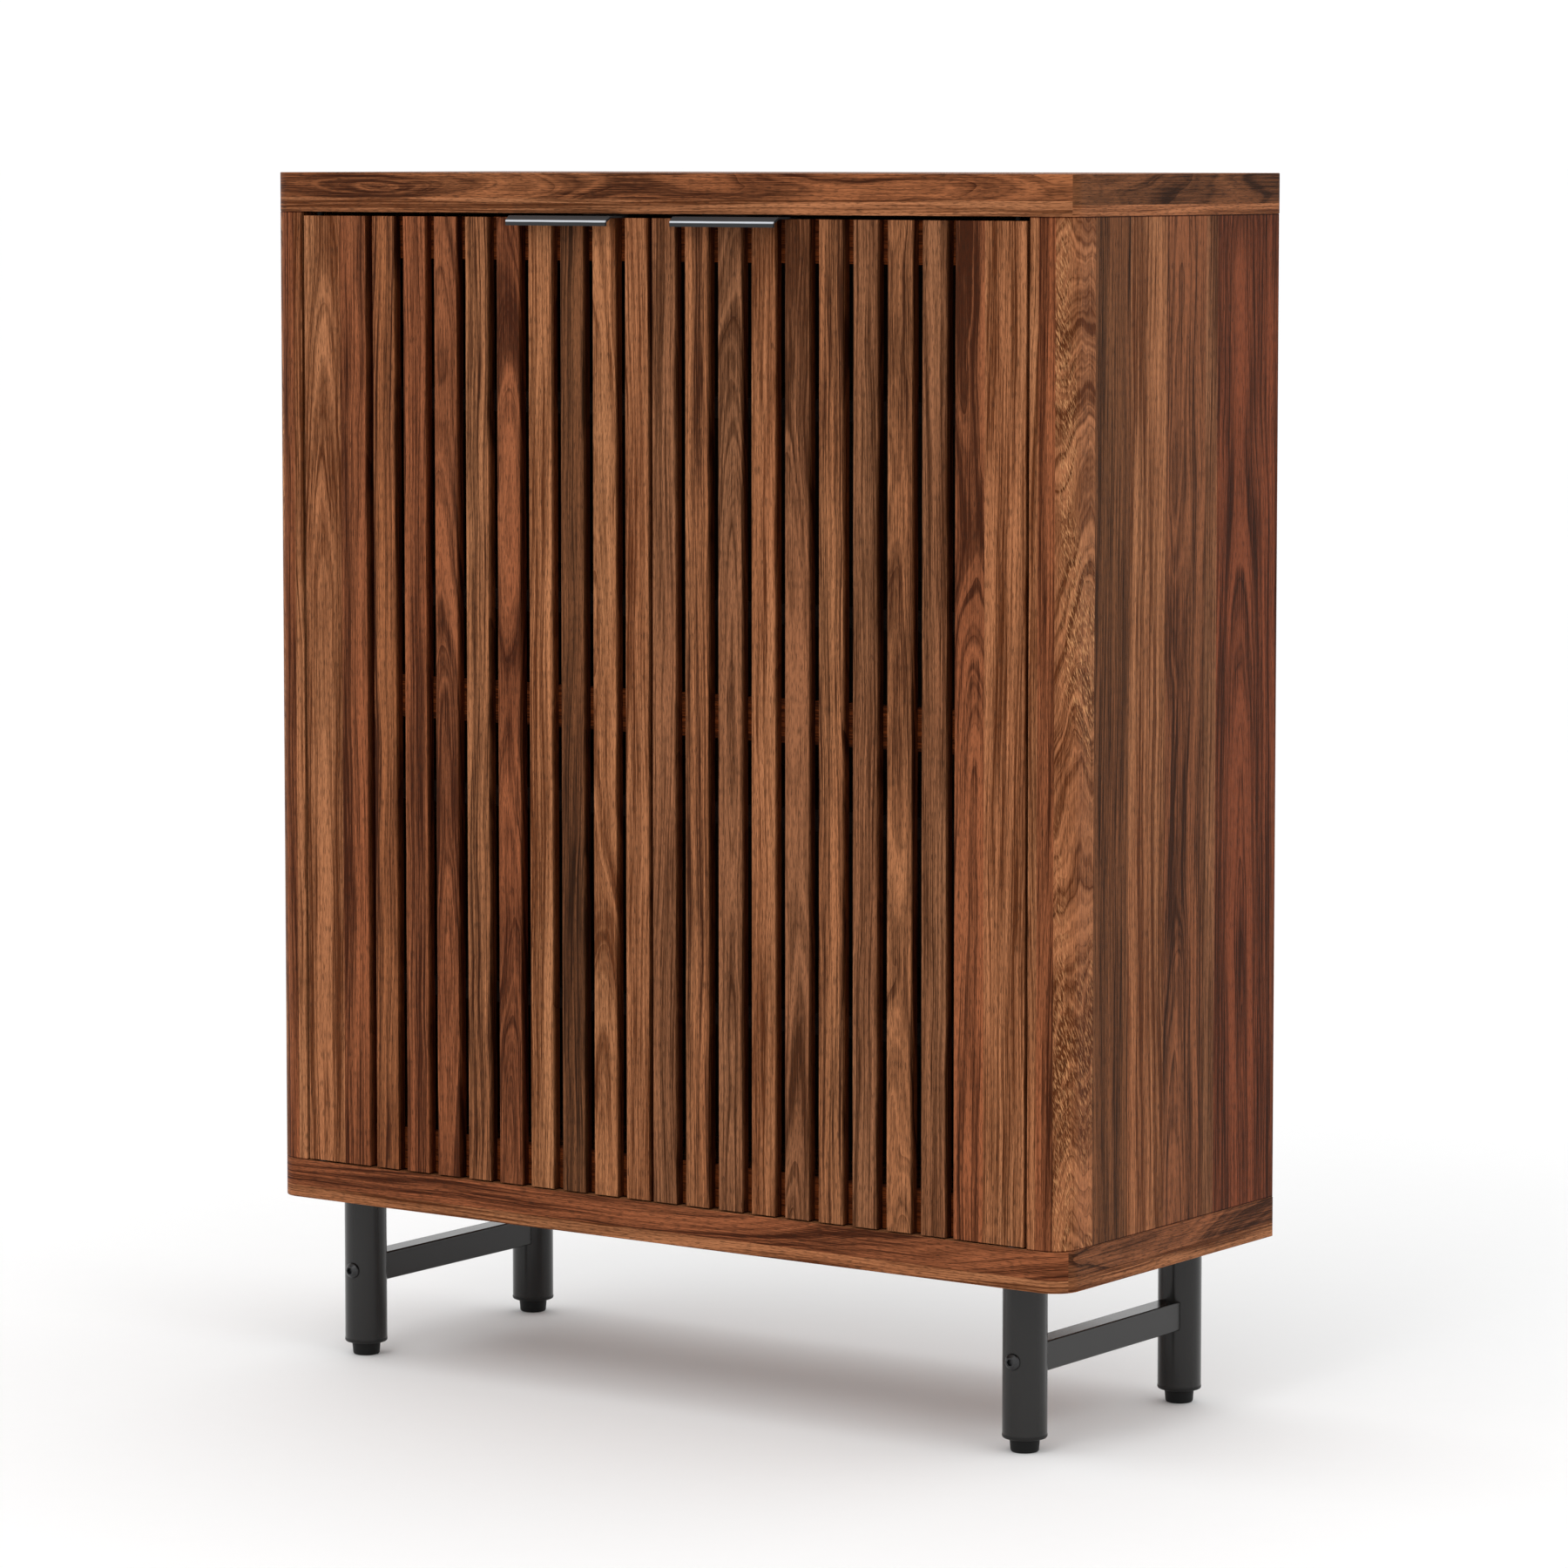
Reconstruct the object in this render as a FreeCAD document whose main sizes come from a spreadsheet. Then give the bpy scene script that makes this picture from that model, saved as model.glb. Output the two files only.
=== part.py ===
"""Two-door slatted shoe cabinet on a steel leg frame.

Millimetres, +Z up. The floor is z = 0, X runs along the width and the front faces -Y. The origin is on the
floor, in the middle of the whole outline, so the body of the cabinet stands a little behind it: the pulls
stand out in front of the doors.

The left half is modelled and the right half mirrors it across X = 0. The back legs mirror the front legs.
"""
import FreeCAD, Part
import math
import os
from types import SimpleNamespace

import Sketcher
from FreeCAD import Placement, Rotation, Vector

DIMENSIONS = [
    # alias, value, meaning
    ("cabinet_width", 800.0, "overall width"),
    ("cabinet_depth", 320.0, "depth of the carcass, without the pulls"),
    ("cabinet_height", 1012.0, "floor to the upper face of the top panel"),
    ("under_height", 138.3, "floor to the underside of the bottom panel"),
    ("board_thickness", 33.0, "top and bottom panels"),
    ("side_thickness", 34.0, "side panels"),
    ("corner_radius", 22.0, "rounded front corners, in plan"),
    ("edge_easing", 0.6, "broken edges of the panels"),
    ("back_thickness", 5.0, "back panel"),
    ("back_inset", 12.0, "rear faces of the panels to the back panel"),
    ("groove_depth", 8.0, "groove for the back panel"),
    ("fit_clearance", 0.5, "spare depth in a blind hole, groove or mortise"),
    ("shelf_count", 4, "shelves"),
    ("shelf_thickness", 18.0, "shelves"),
    ("shelf_setback", 32.0, "front of the doors to the front of the shelves"),
    ("shelf_clearance", 1.0, "gap beside and behind a shelf"),
    ("support_pin_diameter", 5.0, "shank of a shelf support"),
    ("support_head_diameter", 7.0, "head of a shelf support"),
    ("support_head_length", 9.0, "how far a shelf support stands out"),
    ("support_pin_depth", 10.0, "shank length of a shelf support"),
    ("support_inset", 37.0, "front or back of a shelf to its supports"),
    ("support_pitch", 32.0, "step of the spare support holes"),
    ("dowel_diameter", 8.0, "carcass dowels"),
    ("dowel_in_board", 16.0, "dowel length in a top or bottom panel"),
    ("dowel_in_side", 24.0, "dowel length in a side panel"),
    ("dowel_inset", 38.0, "front or back of the cabinet to the outer dowels"),
    ("door_thickness", 19.0, "doors"),
    ("door_side_gap", 3.0, "door to side panel"),
    ("door_centre_gap", 4.3, "door to door"),
    ("door_bottom_gap", 1.2, "door to bottom panel"),
    ("door_top_gap", 3.3, "door to top panel"),
    ("stile_width", 66.0, "hinge stile"),
    ("stile_gap", 8.0, "stile to the first slat"),
    ("slat_count", 9, "slats of one door"),
    ("slat_width", 23.0, "slats"),
    ("slat_thickness", 9.5, "slats"),
    ("slat_easing", 0.8, "broken edges of slats and stiles"),
    ("rail_height", 35.0, "rails behind the slats"),
    ("tenon_length", 25.0, "rail tenon in the stile"),
    ("tenon_shoulder", 5.0, "rail tenon, set back from the rail's edges"),
    ("tenon_share", 0.6, "rail tenon's thickness as a share of the rail's"),
    ("pivot_edge_distance", 12.0, "door's outer edge to the pivot axis"),
    ("pivot_face_distance", 8.0, "door's front face to the pivot axis"),
    ("pivot_diameter", 6.0, "pivot pins"),
    ("pivot_in_stile", 20.0, "pivot pin length in the stile"),
    ("pivot_in_bush", 9.0, "pivot pin length in the bush"),
    ("running_clearance", 0.05, "radial clearance of a turning or sliding fit"),
    ("bush_diameter", 10.0, "pivot bushes"),
    ("bush_length", 12.0, "pivot bushes"),
    ("washer_diameter", 14.0, "washers that carry the doors"),
    ("washer_clearance", 0.1, "washer to the door above it"),
    ("pull_length", 110.0, "pull at the door's face"),
    ("pull_offset", 83.4, "middle of the cabinet to the middle of a pull"),
    ("pull_plate", 1.5, "metal of the pull"),
    ("arris_share", 0.6, "rounding of the pull's arris as a share of its metal"),
    ("pull_projection", 16.8, "pull in front of the door"),
    ("pull_seat", 18.0, "pull over the door's top edge"),
    ("pull_slope_depth", 6.0, "sloped facet, front to back"),
    ("pull_slope_drop", 4.0, "sloped facet, top to bottom"),
    ("pull_lip", 4.0, "front lip below the facet"),
    ("pull_taper", 4.0, "how much shorter the front is at each end"),
    ("pull_screw_spacing", 64.0, "between the two screws of a pull"),
    ("pull_screw_diameter", 3.0, "pull screws"),
    ("pull_screw_length", 25.0, "pull screws"),
    ("screw_head_share", 0.95, "screw head's depth as a share of the pull's metal"),
    ("screw_slot_share", 0.4, "width of a screw's cross slot as a share of its shank"),
    ("screw_slot_reach", 4.0, "length of a cross slot over its width"),
    ("screw_slot_depth", 0.6, "cross slot"),
    ("catch_offset", 60.0, "middle of the cabinet to the middle of a catch"),
    ("catch_length", 45.0, "magnetic catches"),
    ("catch_depth", 12.0, "magnetic catches"),
    ("catch_height", 14.0, "magnetic catches"),
    ("catch_gap", 0.3, "catch to strike plate"),
    ("strike_length", 38.0, "strike plates"),
    ("strike_height", 12.0, "strike plates"),
    ("strike_thickness", 1.2, "strike plates"),
    ("leg_diameter", 36.0, "leg tube"),
    ("leg_wall", 1.5, "leg tube"),
    ("leg_head", 8.0, "steel welded into the top of a leg"),
    ("leg_side_inset", 62.8, "side of the cabinet to the leg's axis"),
    ("leg_end_inset", 43.0, "front or back of the carcass to the leg's axis"),
    ("cap_rim", 3.0, "rim of the leg's end cap"),
    ("cap_rounding", 1.8, "rounded lower edge of the end cap"),
    ("cap_overhang", 0.2, "rim beyond the tube"),
    ("cap_plug_length", 16.0, "end cap inside the tube"),
    ("foot_height", 11.3, "levelling foot below the cap"),
    ("foot_upper_diameter", 24.5, "levelling foot at the cap"),
    ("foot_lower_diameter", 22.5, "levelling foot at the floor"),
    ("foot_edge_radius", 2.0, "rounded lower edge of a foot"),
    ("foot_clearance", 0.1, "foot to cap when screwed home"),
    ("stem_diameter", 8.0, "stem of a levelling foot"),
    ("stem_length", 18.0, "stem of a levelling foot"),
    ("stretcher_width", 20.0, "stretcher tube"),
    ("stretcher_height", 24.0, "stretcher tube"),
    ("stretcher_level", 74.7, "floor to the middle of a stretcher"),
    ("stretcher_wall", 1.5, "stretcher tube"),
    ("stretcher_block", 12.0, "solid threaded end of a stretcher"),
    ("bolt_diameter", 8.0, "frame bolts"),
    ("bolt_length", 45.0, "frame bolts"),
    ("bolt_head_diameter", 13.5, "frame bolts"),
    ("bolt_head_height", 4.0, "frame bolts"),
    ("bolt_brim_share", 0.25, "upright brim of a bolt head as a share of its height"),
    ("bolt_crown_share", 0.55, "flat top of a bolt head as a share of its width"),
    ("bolt_head_rounding", 2.0, "brim of a bolt head to its slope"),
    ("bolt_socket", 5.0, "hexagon socket across flats"),
    ("bolt_socket_depth", 2.5, "hexagon socket"),
    ("bolt_hole_clearance", 0.25, "radial clearance round a bolt"),
    ("counterbore_depth", 5.0, "leg bolt heads below the cabinet's floor"),
    ("counterbore_clearance", 1.0, "radial clearance round a sunk bolt head"),
]

doc = FreeCAD.newDocument("shoe_cabinet")
sheet = doc.addObject("Spreadsheet::Sheet", "Sizes")


class Size:
    """A length that carries both its number and the sheet formula that it comes from."""

    def __init__(self, value, text=None):
        self.value = float(value)
        self.text = text or f"{float(value):g}"

    def __float__(self):
        return self.value

    def __add__(self, other):
        other = as_size(other)
        return Size(self.value + other.value, f"({self.text} + {other.text})")

    def __sub__(self, other):
        other = as_size(other)
        return Size(self.value - other.value, f"({self.text} - {other.text})")

    def __mul__(self, other):
        other = as_size(other)
        return Size(self.value * other.value, f"({self.text} * {other.text})")

    def __truediv__(self, other):
        other = as_size(other)
        return Size(self.value / other.value, f"({self.text} / {other.text})")

    def __neg__(self):
        return Size(-self.value, f"(0 - {self.text})")


def as_size(value):
    """Let plain numbers and sizes be mixed."""
    return value if isinstance(value, Size) else Size(value)


for row, (alias, value, meaning) in enumerate(DIMENSIONS, start=1):
    sheet.set(f"A{row}", meaning)
    sheet.set(f"B{row}", str(value))
    sheet.setAlias(f"B{row}", alias)
doc.recompute()
d = SimpleNamespace(**{alias: Size(sheet.get(alias), f"Sizes.{alias}") for alias, _, _ in DIMENSIONS})
ZERO = Size(0)

# Places that more than one piece takes its own place from.
front_y = (d.pull_projection - d.cabinet_depth) / 2
middle_y = front_y + d.cabinet_depth / 2
side_x = -d.cabinet_width / 2
inner_x = side_x + d.side_thickness
opening_width = d.cabinet_width - d.side_thickness * 2
floor_z = d.under_height + d.board_thickness
ceiling_z = d.cabinet_height - d.board_thickness
inside_height = ceiling_z - floor_z
back_panel_y = d.cabinet_depth - d.back_inset - d.back_thickness

door_x = inner_x + d.door_side_gap
door_z = floor_z + d.door_bottom_gap
door_width = opening_width / 2 - d.door_side_gap - d.door_centre_gap / 2
door_height = inside_height - d.door_bottom_gap - d.door_top_gap
rail_thickness = d.door_thickness - d.slat_thickness
slat_span = door_width - d.stile_width - d.stile_gap
slat_pitch = (slat_span - d.slat_width) / (d.slat_count - 1)
rail_levels = {
    "bottom": door_z,
    "middle": door_z + (door_height - d.rail_height) / 2,
    "top": door_z + door_height - d.rail_height,
}
pivot_x = door_x + d.pivot_edge_distance
pivot_y = front_y + d.pivot_face_distance

leg_x = side_x + d.leg_side_inset
leg_y = front_y + d.leg_end_inset
leg_foot_z = d.foot_height + d.cap_rim
leg_radius = d.leg_diameter / 2
stretcher_length = d.cabinet_depth - d.leg_end_inset * 2 - d.leg_diameter
saddle_depth = leg_radius - math.sqrt(float(leg_radius) ** 2 - (float(d.stretcher_width) / 2) ** 2)

shelf_depth = back_panel_y - d.shelf_setback - d.shelf_clearance
shelf_spacing = (inside_height - d.shelf_thickness * d.shelf_count) / (d.shelf_count + 1)
shelf_levels = [floor_z + shelf_spacing * (i + 1) + d.shelf_thickness * i
                for i in range(int(float(d.shelf_count)))]


# ---------------------------------------------------------------- helpers

def bind(obj, **sizes):
    """Bind an object's properties to sizes."""
    for prop, size in sizes.items():
        obj.setExpression(prop, as_size(size).text)


def place(obj, x=ZERO, y=ZERO, z=ZERO):
    """Bind an object's place to sizes."""
    for axis, size in zip("xyz", (x, y, z)):
        obj.setExpression(f"Placement.Base.{axis}", as_size(size).text)


def new_body(name):
    body = doc.addObject("PartDesign::Body", name)
    body.Label = name
    return body


def new_sketch(body, role="XY_Plane", lift=None):
    """Open a sketch on one of the body's own origin planes, lifted along the plane's normal."""
    sketch = body.newObject("Sketcher::SketchObject", f"{body.Name}_sketch")
    plane = next(feature for feature in body.Origin.OriginFeatures if feature.Role == role)
    sketch.AttachmentSupport = [(plane, "")]
    sketch.MapMode = "FlatFace"
    if lift is not None:
        sketch.setExpression("AttachmentOffset.Base.z", lift.text)
    return sketch


def constrain(sketch, kind, *arguments):
    """Add a dimension whose last argument is a size, and bind it."""
    *geometry, size = arguments
    index = sketch.addConstraint(Sketcher.Constraint(kind, *geometry, float(size)))
    sketch.setExpression(f"Constraints[{index}]", as_size(size).text)


def outline(sketch, points):
    """Draw a closed outline of straight lines through points given as pairs of sizes."""
    points = [(as_size(x), as_size(y)) for x, y in points]
    count = len(points)
    first = sketch.GeometryCount
    for i in range(count):
        start = Vector(*map(float, points[i]), 0)
        end = Vector(*map(float, points[(i + 1) % count]), 0)
        sketch.addGeometry(Part.LineSegment(start, end), False)
    for i in range(count):
        sketch.addConstraint(Sketcher.Constraint("Coincident", first + i, 2, first + (i + 1) % count, 1))
    for i, (x, y) in enumerate(points):
        constrain(sketch, "DistanceX", -1, 1, first + i, 1, x)
        constrain(sketch, "DistanceY", -1, 1, first + i, 1, y)


def rectangle(sketch, x, y, width, height):
    x, y = as_size(x), as_size(y)
    outline(sketch, [(x, y), (x + width, y), (x + width, y + height), (x, y + height)])


def circle(sketch, x, y, radius):
    x, y = as_size(x), as_size(y)
    index = sketch.GeometryCount
    sketch.addGeometry(Part.Circle(Vector(float(x), float(y), 0), Vector(0, 0, 1), float(radius)), False)
    constrain(sketch, "DistanceX", -1, 1, index, 3, x)
    constrain(sketch, "DistanceY", -1, 1, index, 3, y)
    constrain(sketch, "Radius", index, radius)


def pad(body, sketch, length):
    feature = body.newObject("PartDesign::Pad", f"{body.Name}_pad")
    feature.Profile = sketch
    bind(feature, Length=length)
    return feature


def pocket(body, sketch, depth, upward=False):
    """Cut along the sketch's normal reversed, or along it when upward."""
    feature = body.newObject("PartDesign::Pocket", f"{body.Name}_pocket")
    feature.Profile = sketch
    feature.Reversed = upward
    bind(feature, Length=depth)
    before = body.Shape.Volume
    doc.recompute()
    if not feature.Shape.Volume < before or before == 0:
        raise RuntimeError(f"{body.Label}: a pocket cuts nothing")
    return feature


def revolve(body, sketch):
    """Turn a profile on the XZ plane about the vertical axis."""
    feature = body.newObject("PartDesign::Revolution", f"{body.Name}_revolution")
    feature.Profile = sketch
    feature.ReferenceAxis = (sketch, ["V_Axis"])
    feature.Angle = 360.0
    return feature


def soften(body, radius, wanted):
    """Round the edges of the body's tip for which wanted(edge) is true."""
    doc.recompute()
    tip = body.Tip
    names = [f"Edge{i}" for i, edge in enumerate(tip.Shape.Edges, start=1) if wanted(edge)]
    if not names:
        raise RuntimeError(f"{body.Label}: no edge to round")
    feature = body.newObject("PartDesign::Fillet", f"{body.Name}_fillet")
    feature.Base = (tip, names)
    bind(feature, Radius=radius)
    return feature


def runs_along(edge, axis):
    """True for a straight edge along the given axis, 0 to 2 for X to Z."""
    if len(edge.Vertexes) < 2:
        return False
    step = edge.Vertexes[1].Point - edge.Vertexes[0].Point
    return abs(abs(step[axis]) - edge.Length) < 1e-6


def near(a, b):
    return abs(float(a) - float(b)) < 1e-4


def edge_at(edge, axis, value):
    """True when the whole edge lies at one value of an axis."""
    low = (edge.BoundBox.XMin, edge.BoundBox.YMin, edge.BoundBox.ZMin)[axis]
    high = (edge.BoundBox.XMax, edge.BoundBox.YMax, edge.BoundBox.ZMax)[axis]
    return near(low, value) and near(high, value)


def mirrored(name, source, across="x", about=ZERO):
    """A sub-part that mirrors another across X = 0, or front to back about a depth."""
    mirror = doc.addObject("Part::Mirroring", name)
    mirror.Label = name
    mirror.Source = source
    mirror.Normal = Vector(1, 0, 0) if across == "x" else Vector(0, 1, 0)
    if across == "y":
        mirror.setExpression("Base.y", about.text)
    return mirror


def group(name, prototype, placements):
    """One sub-part that is a set of separate, identical solids."""
    doc.recompute()
    solids = [prototype.Shape.copy() for _ in placements]
    for solid, placement in zip(solids, placements):
        solid.Placement = placement.multiply(solid.Placement)
    feature = doc.addObject("Part::Feature", name)
    feature.Label = name
    feature.Shape = Part.makeCompound(solids)
    feature.Placement = Placement()
    return feature


def at(x, y, z, axis=Vector(0, 0, 1), angle=0.0):
    """A placement for a member of a group."""
    return Placement(Vector(float(x), float(y), float(z)), Rotation(axis, angle))


def plain_box(name, length, width, height, x, y, z):
    """A rectangular board or plate."""
    box = doc.addObject("Part::Box", name)
    box.Label = name
    bind(box, Length=length, Width=width, Height=height)
    place(box, x, y, z)
    return box


# ---------------------------------------------------------------- carcass

dowel_rows = [d.dowel_inset, d.cabinet_depth / 2, d.cabinet_depth - d.dowel_inset]


def carcass_board(name, level, inner_face_up):
    """Top or bottom panel, from its front left lower corner, with dowel holes, pivot holes and a groove."""
    body = new_body(name)
    blank = new_sketch(body)
    rectangle(blank, 0, 0, d.cabinet_width, d.cabinet_depth)
    pad(body, blank, d.board_thickness)
    soften(body, d.corner_radius, lambda edge: runs_along(edge, 2) and edge_at(edge, 1, 0))
    soften(body, d.edge_easing, lambda edge: edge_at(edge, 2, 0) or edge_at(edge, 2, d.board_thickness))
    doc.recompute()
    lift = d.board_thickness if inner_face_up else ZERO

    dowels = new_sketch(body, lift=lift)
    for x in (d.side_thickness / 2, d.cabinet_width - d.side_thickness / 2):
        for y in dowel_rows:
            circle(dowels, x, y, d.dowel_diameter / 2)
    pocket(body, dowels, d.dowel_in_board + d.fit_clearance, upward=not inner_face_up)

    groove = new_sketch(body, lift=lift)
    rectangle(groove, d.side_thickness - d.groove_depth, back_panel_y,
              opening_width + d.groove_depth * 2, d.back_thickness)
    pocket(body, groove, d.groove_depth, upward=not inner_face_up)

    bushes = new_sketch(body, lift=lift)
    for x in (pivot_x - side_x, d.cabinet_width - (pivot_x - side_x)):
        circle(bushes, x, d.pivot_face_distance, d.bush_diameter / 2)
    pocket(body, bushes, d.bush_length, upward=not inner_face_up)
    place(body, side_x, front_y, level)
    return body


top_panel = carcass_board("top_panel", ceiling_z, inner_face_up=False)
bottom_panel = carcass_board("bottom_panel", d.under_height, inner_face_up=True)

leg_bolt_spots = [(x, y) for x in (d.leg_side_inset, d.cabinet_width - d.leg_side_inset)
                  for y in (d.leg_end_inset, d.cabinet_depth - d.leg_end_inset)]
counterbores = new_sketch(bottom_panel, lift=d.board_thickness)
for x, y in leg_bolt_spots:
    circle(counterbores, x, y, d.bolt_head_diameter / 2 + d.counterbore_clearance)
pocket(bottom_panel, counterbores, d.counterbore_depth)
leg_bolt_holes = new_sketch(bottom_panel, lift=d.board_thickness)
for x, y in leg_bolt_spots:
    circle(leg_bolt_holes, x, y, d.bolt_diameter / 2 + d.bolt_hole_clearance)
pocket(bottom_panel, leg_bolt_holes, d.board_thickness)


def side_panel():
    """Left side panel, from its front outer lower corner, with the inner face towards +X."""
    body = new_body("left_side_panel")
    blank = new_sketch(body)
    rectangle(blank, 0, 0, d.side_thickness, d.cabinet_depth)
    pad(body, blank, inside_height)
    soften(body, d.corner_radius,
           lambda edge: runs_along(edge, 2) and edge_at(edge, 0, 0) and edge_at(edge, 1, 0))
    soften(body, d.edge_easing, lambda edge: (
        edge_at(edge, 2, 0) or edge_at(edge, 2, inside_height)
        or (runs_along(edge, 2) and edge_at(edge, 1, d.cabinet_depth))
        or (runs_along(edge, 2) and edge_at(edge, 0, d.side_thickness))))
    doc.recompute()

    for lift, upward in ((ZERO, True), (inside_height, False)):
        dowels = new_sketch(body, lift=lift)
        for y in dowel_rows:
            circle(dowels, d.side_thickness / 2, y, d.dowel_diameter / 2)
        pocket(body, dowels, d.dowel_in_side + d.fit_clearance, upward)

    groove = new_sketch(body)
    rectangle(groove, d.side_thickness - d.groove_depth, back_panel_y, d.groove_depth, d.back_thickness)
    pocket(body, groove, inside_height, upward=True)

    supports = new_sketch(body, "YZ_Plane", lift=d.side_thickness)
    for level in shelf_levels:
        pin_level = level - floor_z - d.support_head_diameter / 2
        for step in (-1, 0, 1):
            for y in support_rows:
                circle(supports, y, pin_level + d.support_pitch * step, d.support_pin_diameter / 2)
    pocket(body, supports, d.support_pin_depth)
    place(body, side_x, front_y, floor_z)
    return body


support_rows = [d.shelf_setback + d.support_inset, d.shelf_setback + shelf_depth - d.support_inset]
left_side_panel = side_panel()
right_side_panel = mirrored("right_side_panel", left_side_panel)

back_panel = plain_box(
    "back_panel",
    opening_width + d.groove_depth * 2 - d.fit_clearance * 2,
    d.back_thickness,
    inside_height + d.groove_depth * 2 - d.fit_clearance * 2,
    inner_x - d.groove_depth + d.fit_clearance,
    front_y + back_panel_y,
    floor_z - d.groove_depth + d.fit_clearance)

shelves = []
for number, level in enumerate(shelf_levels, start=1):
    shelf = new_body(f"shelf_{number}")
    blank = new_sketch(shelf)
    rectangle(blank, 0, 0, opening_width - d.shelf_clearance * 2, shelf_depth)
    pad(shelf, blank, d.shelf_thickness)
    soften(shelf, d.edge_easing, lambda edge: runs_along(edge, 0) and edge_at(edge, 1, 0))
    place(shelf, inner_x + d.shelf_clearance, front_y + d.shelf_setback, level)
    shelves.append(shelf)

support = new_body("shelf_support")
support_profile = new_sketch(support, "XZ_Plane")
outline(support_profile, [
    (0, -d.support_pin_depth), (d.support_pin_diameter / 2, -d.support_pin_depth),
    (d.support_pin_diameter / 2, 0), (d.support_head_diameter / 2, 0),
    (d.support_head_diameter / 2, d.support_head_length), (0, d.support_head_length)])
revolve(support, support_profile)
shelf_supports = group("shelf_supports", support, [
    at(side * float(inner_x), front_y + y, level - d.support_head_diameter / 2, Vector(0, 1, 0), side * 90)
    for level in shelf_levels for y in support_rows for side in (1, -1)])

dowel = doc.addObject("Part::Cylinder", "dowel")
bind(dowel, Radius=d.dowel_diameter / 2, Height=d.dowel_in_board + d.dowel_in_side)
carcass_dowels = group("carcass_dowels", dowel, [
    at(side * float(side_x + d.side_thickness / 2), front_y + y, z)
    for z in (floor_z - d.dowel_in_board, ceiling_z - d.dowel_in_side)
    for y in dowel_rows for side in (1, -1)])


# ---------------------------------------------------------------- doors

def hinge_stile():
    """Left hinge stile, from its front outer lower corner."""
    body = new_body("left_stile")
    blank = new_sketch(body)
    rectangle(blank, 0, 0, d.stile_width, d.door_thickness)
    pad(body, blank, door_height)
    soften(body, d.slat_easing, lambda edge: runs_along(edge, 2) or edge_at(edge, 1, 0))
    doc.recompute()

    for lift, upward in ((ZERO, True), (door_height, False)):
        pivot_hole = new_sketch(body, lift=lift)
        circle(pivot_hole, d.pivot_edge_distance, d.pivot_face_distance, d.pivot_diameter / 2)
        pocket(body, pivot_hole, d.pivot_in_stile, upward)

    mortises = new_sketch(body, "YZ_Plane", lift=d.stile_width)
    for level in rail_levels.values():
        rectangle(mortises, d.slat_thickness, level - door_z + d.tenon_shoulder,
                  tenon_thickness, d.rail_height - d.tenon_shoulder * 2)
    pocket(body, mortises, d.tenon_length + d.fit_clearance)
    place(body, door_x, front_y, door_z)
    return body


def door_rail(name, level):
    """Left door rail, from its shoulder at the stile, running towards the middle of the cabinet."""
    body = new_body(name)
    blank = new_sketch(body)
    rectangle(blank, 0, 0, door_width - d.stile_width, rail_thickness)
    pad(body, blank, d.rail_height)
    tenon = new_sketch(body, lift=d.tenon_shoulder)
    rectangle(tenon, -d.tenon_length, 0, d.tenon_length, tenon_thickness)
    pad(body, tenon, d.rail_height - d.tenon_shoulder * 2)
    place(body, door_x + d.stile_width, front_y + d.slat_thickness, level)
    return body


def door_slat(number):
    """Left door slat, from its front lower corner; number 1 is next to the stile."""
    body = new_body(f"left_slat_{number}")
    blank = new_sketch(body)
    rectangle(blank, 0, 0, d.slat_width, d.slat_thickness)
    pad(body, blank, door_height)
    soften(body, d.slat_easing, lambda edge: edge_at(edge, 1, 0))
    place(body, door_x + d.stile_width + d.stile_gap + slat_pitch * (number - 1), front_y, door_z)
    return body


tenon_thickness = rail_thickness * d.tenon_share
left_stile = hinge_stile()
left_rails = {spot: door_rail(f"left_{spot}_rail", level) for spot, level in rail_levels.items()}
left_slats = [door_slat(number) for number in range(1, int(float(d.slat_count)) + 1)]

pull_x = -d.pull_offset
pull_screw_y = d.slat_thickness + rail_thickness / 2
screw_head = d.pull_plate * d.screw_head_share
screw_spots = [pull_x - d.pull_screw_spacing / 2, pull_x + d.pull_screw_spacing / 2]
door_top_z = door_z + door_height


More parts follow.
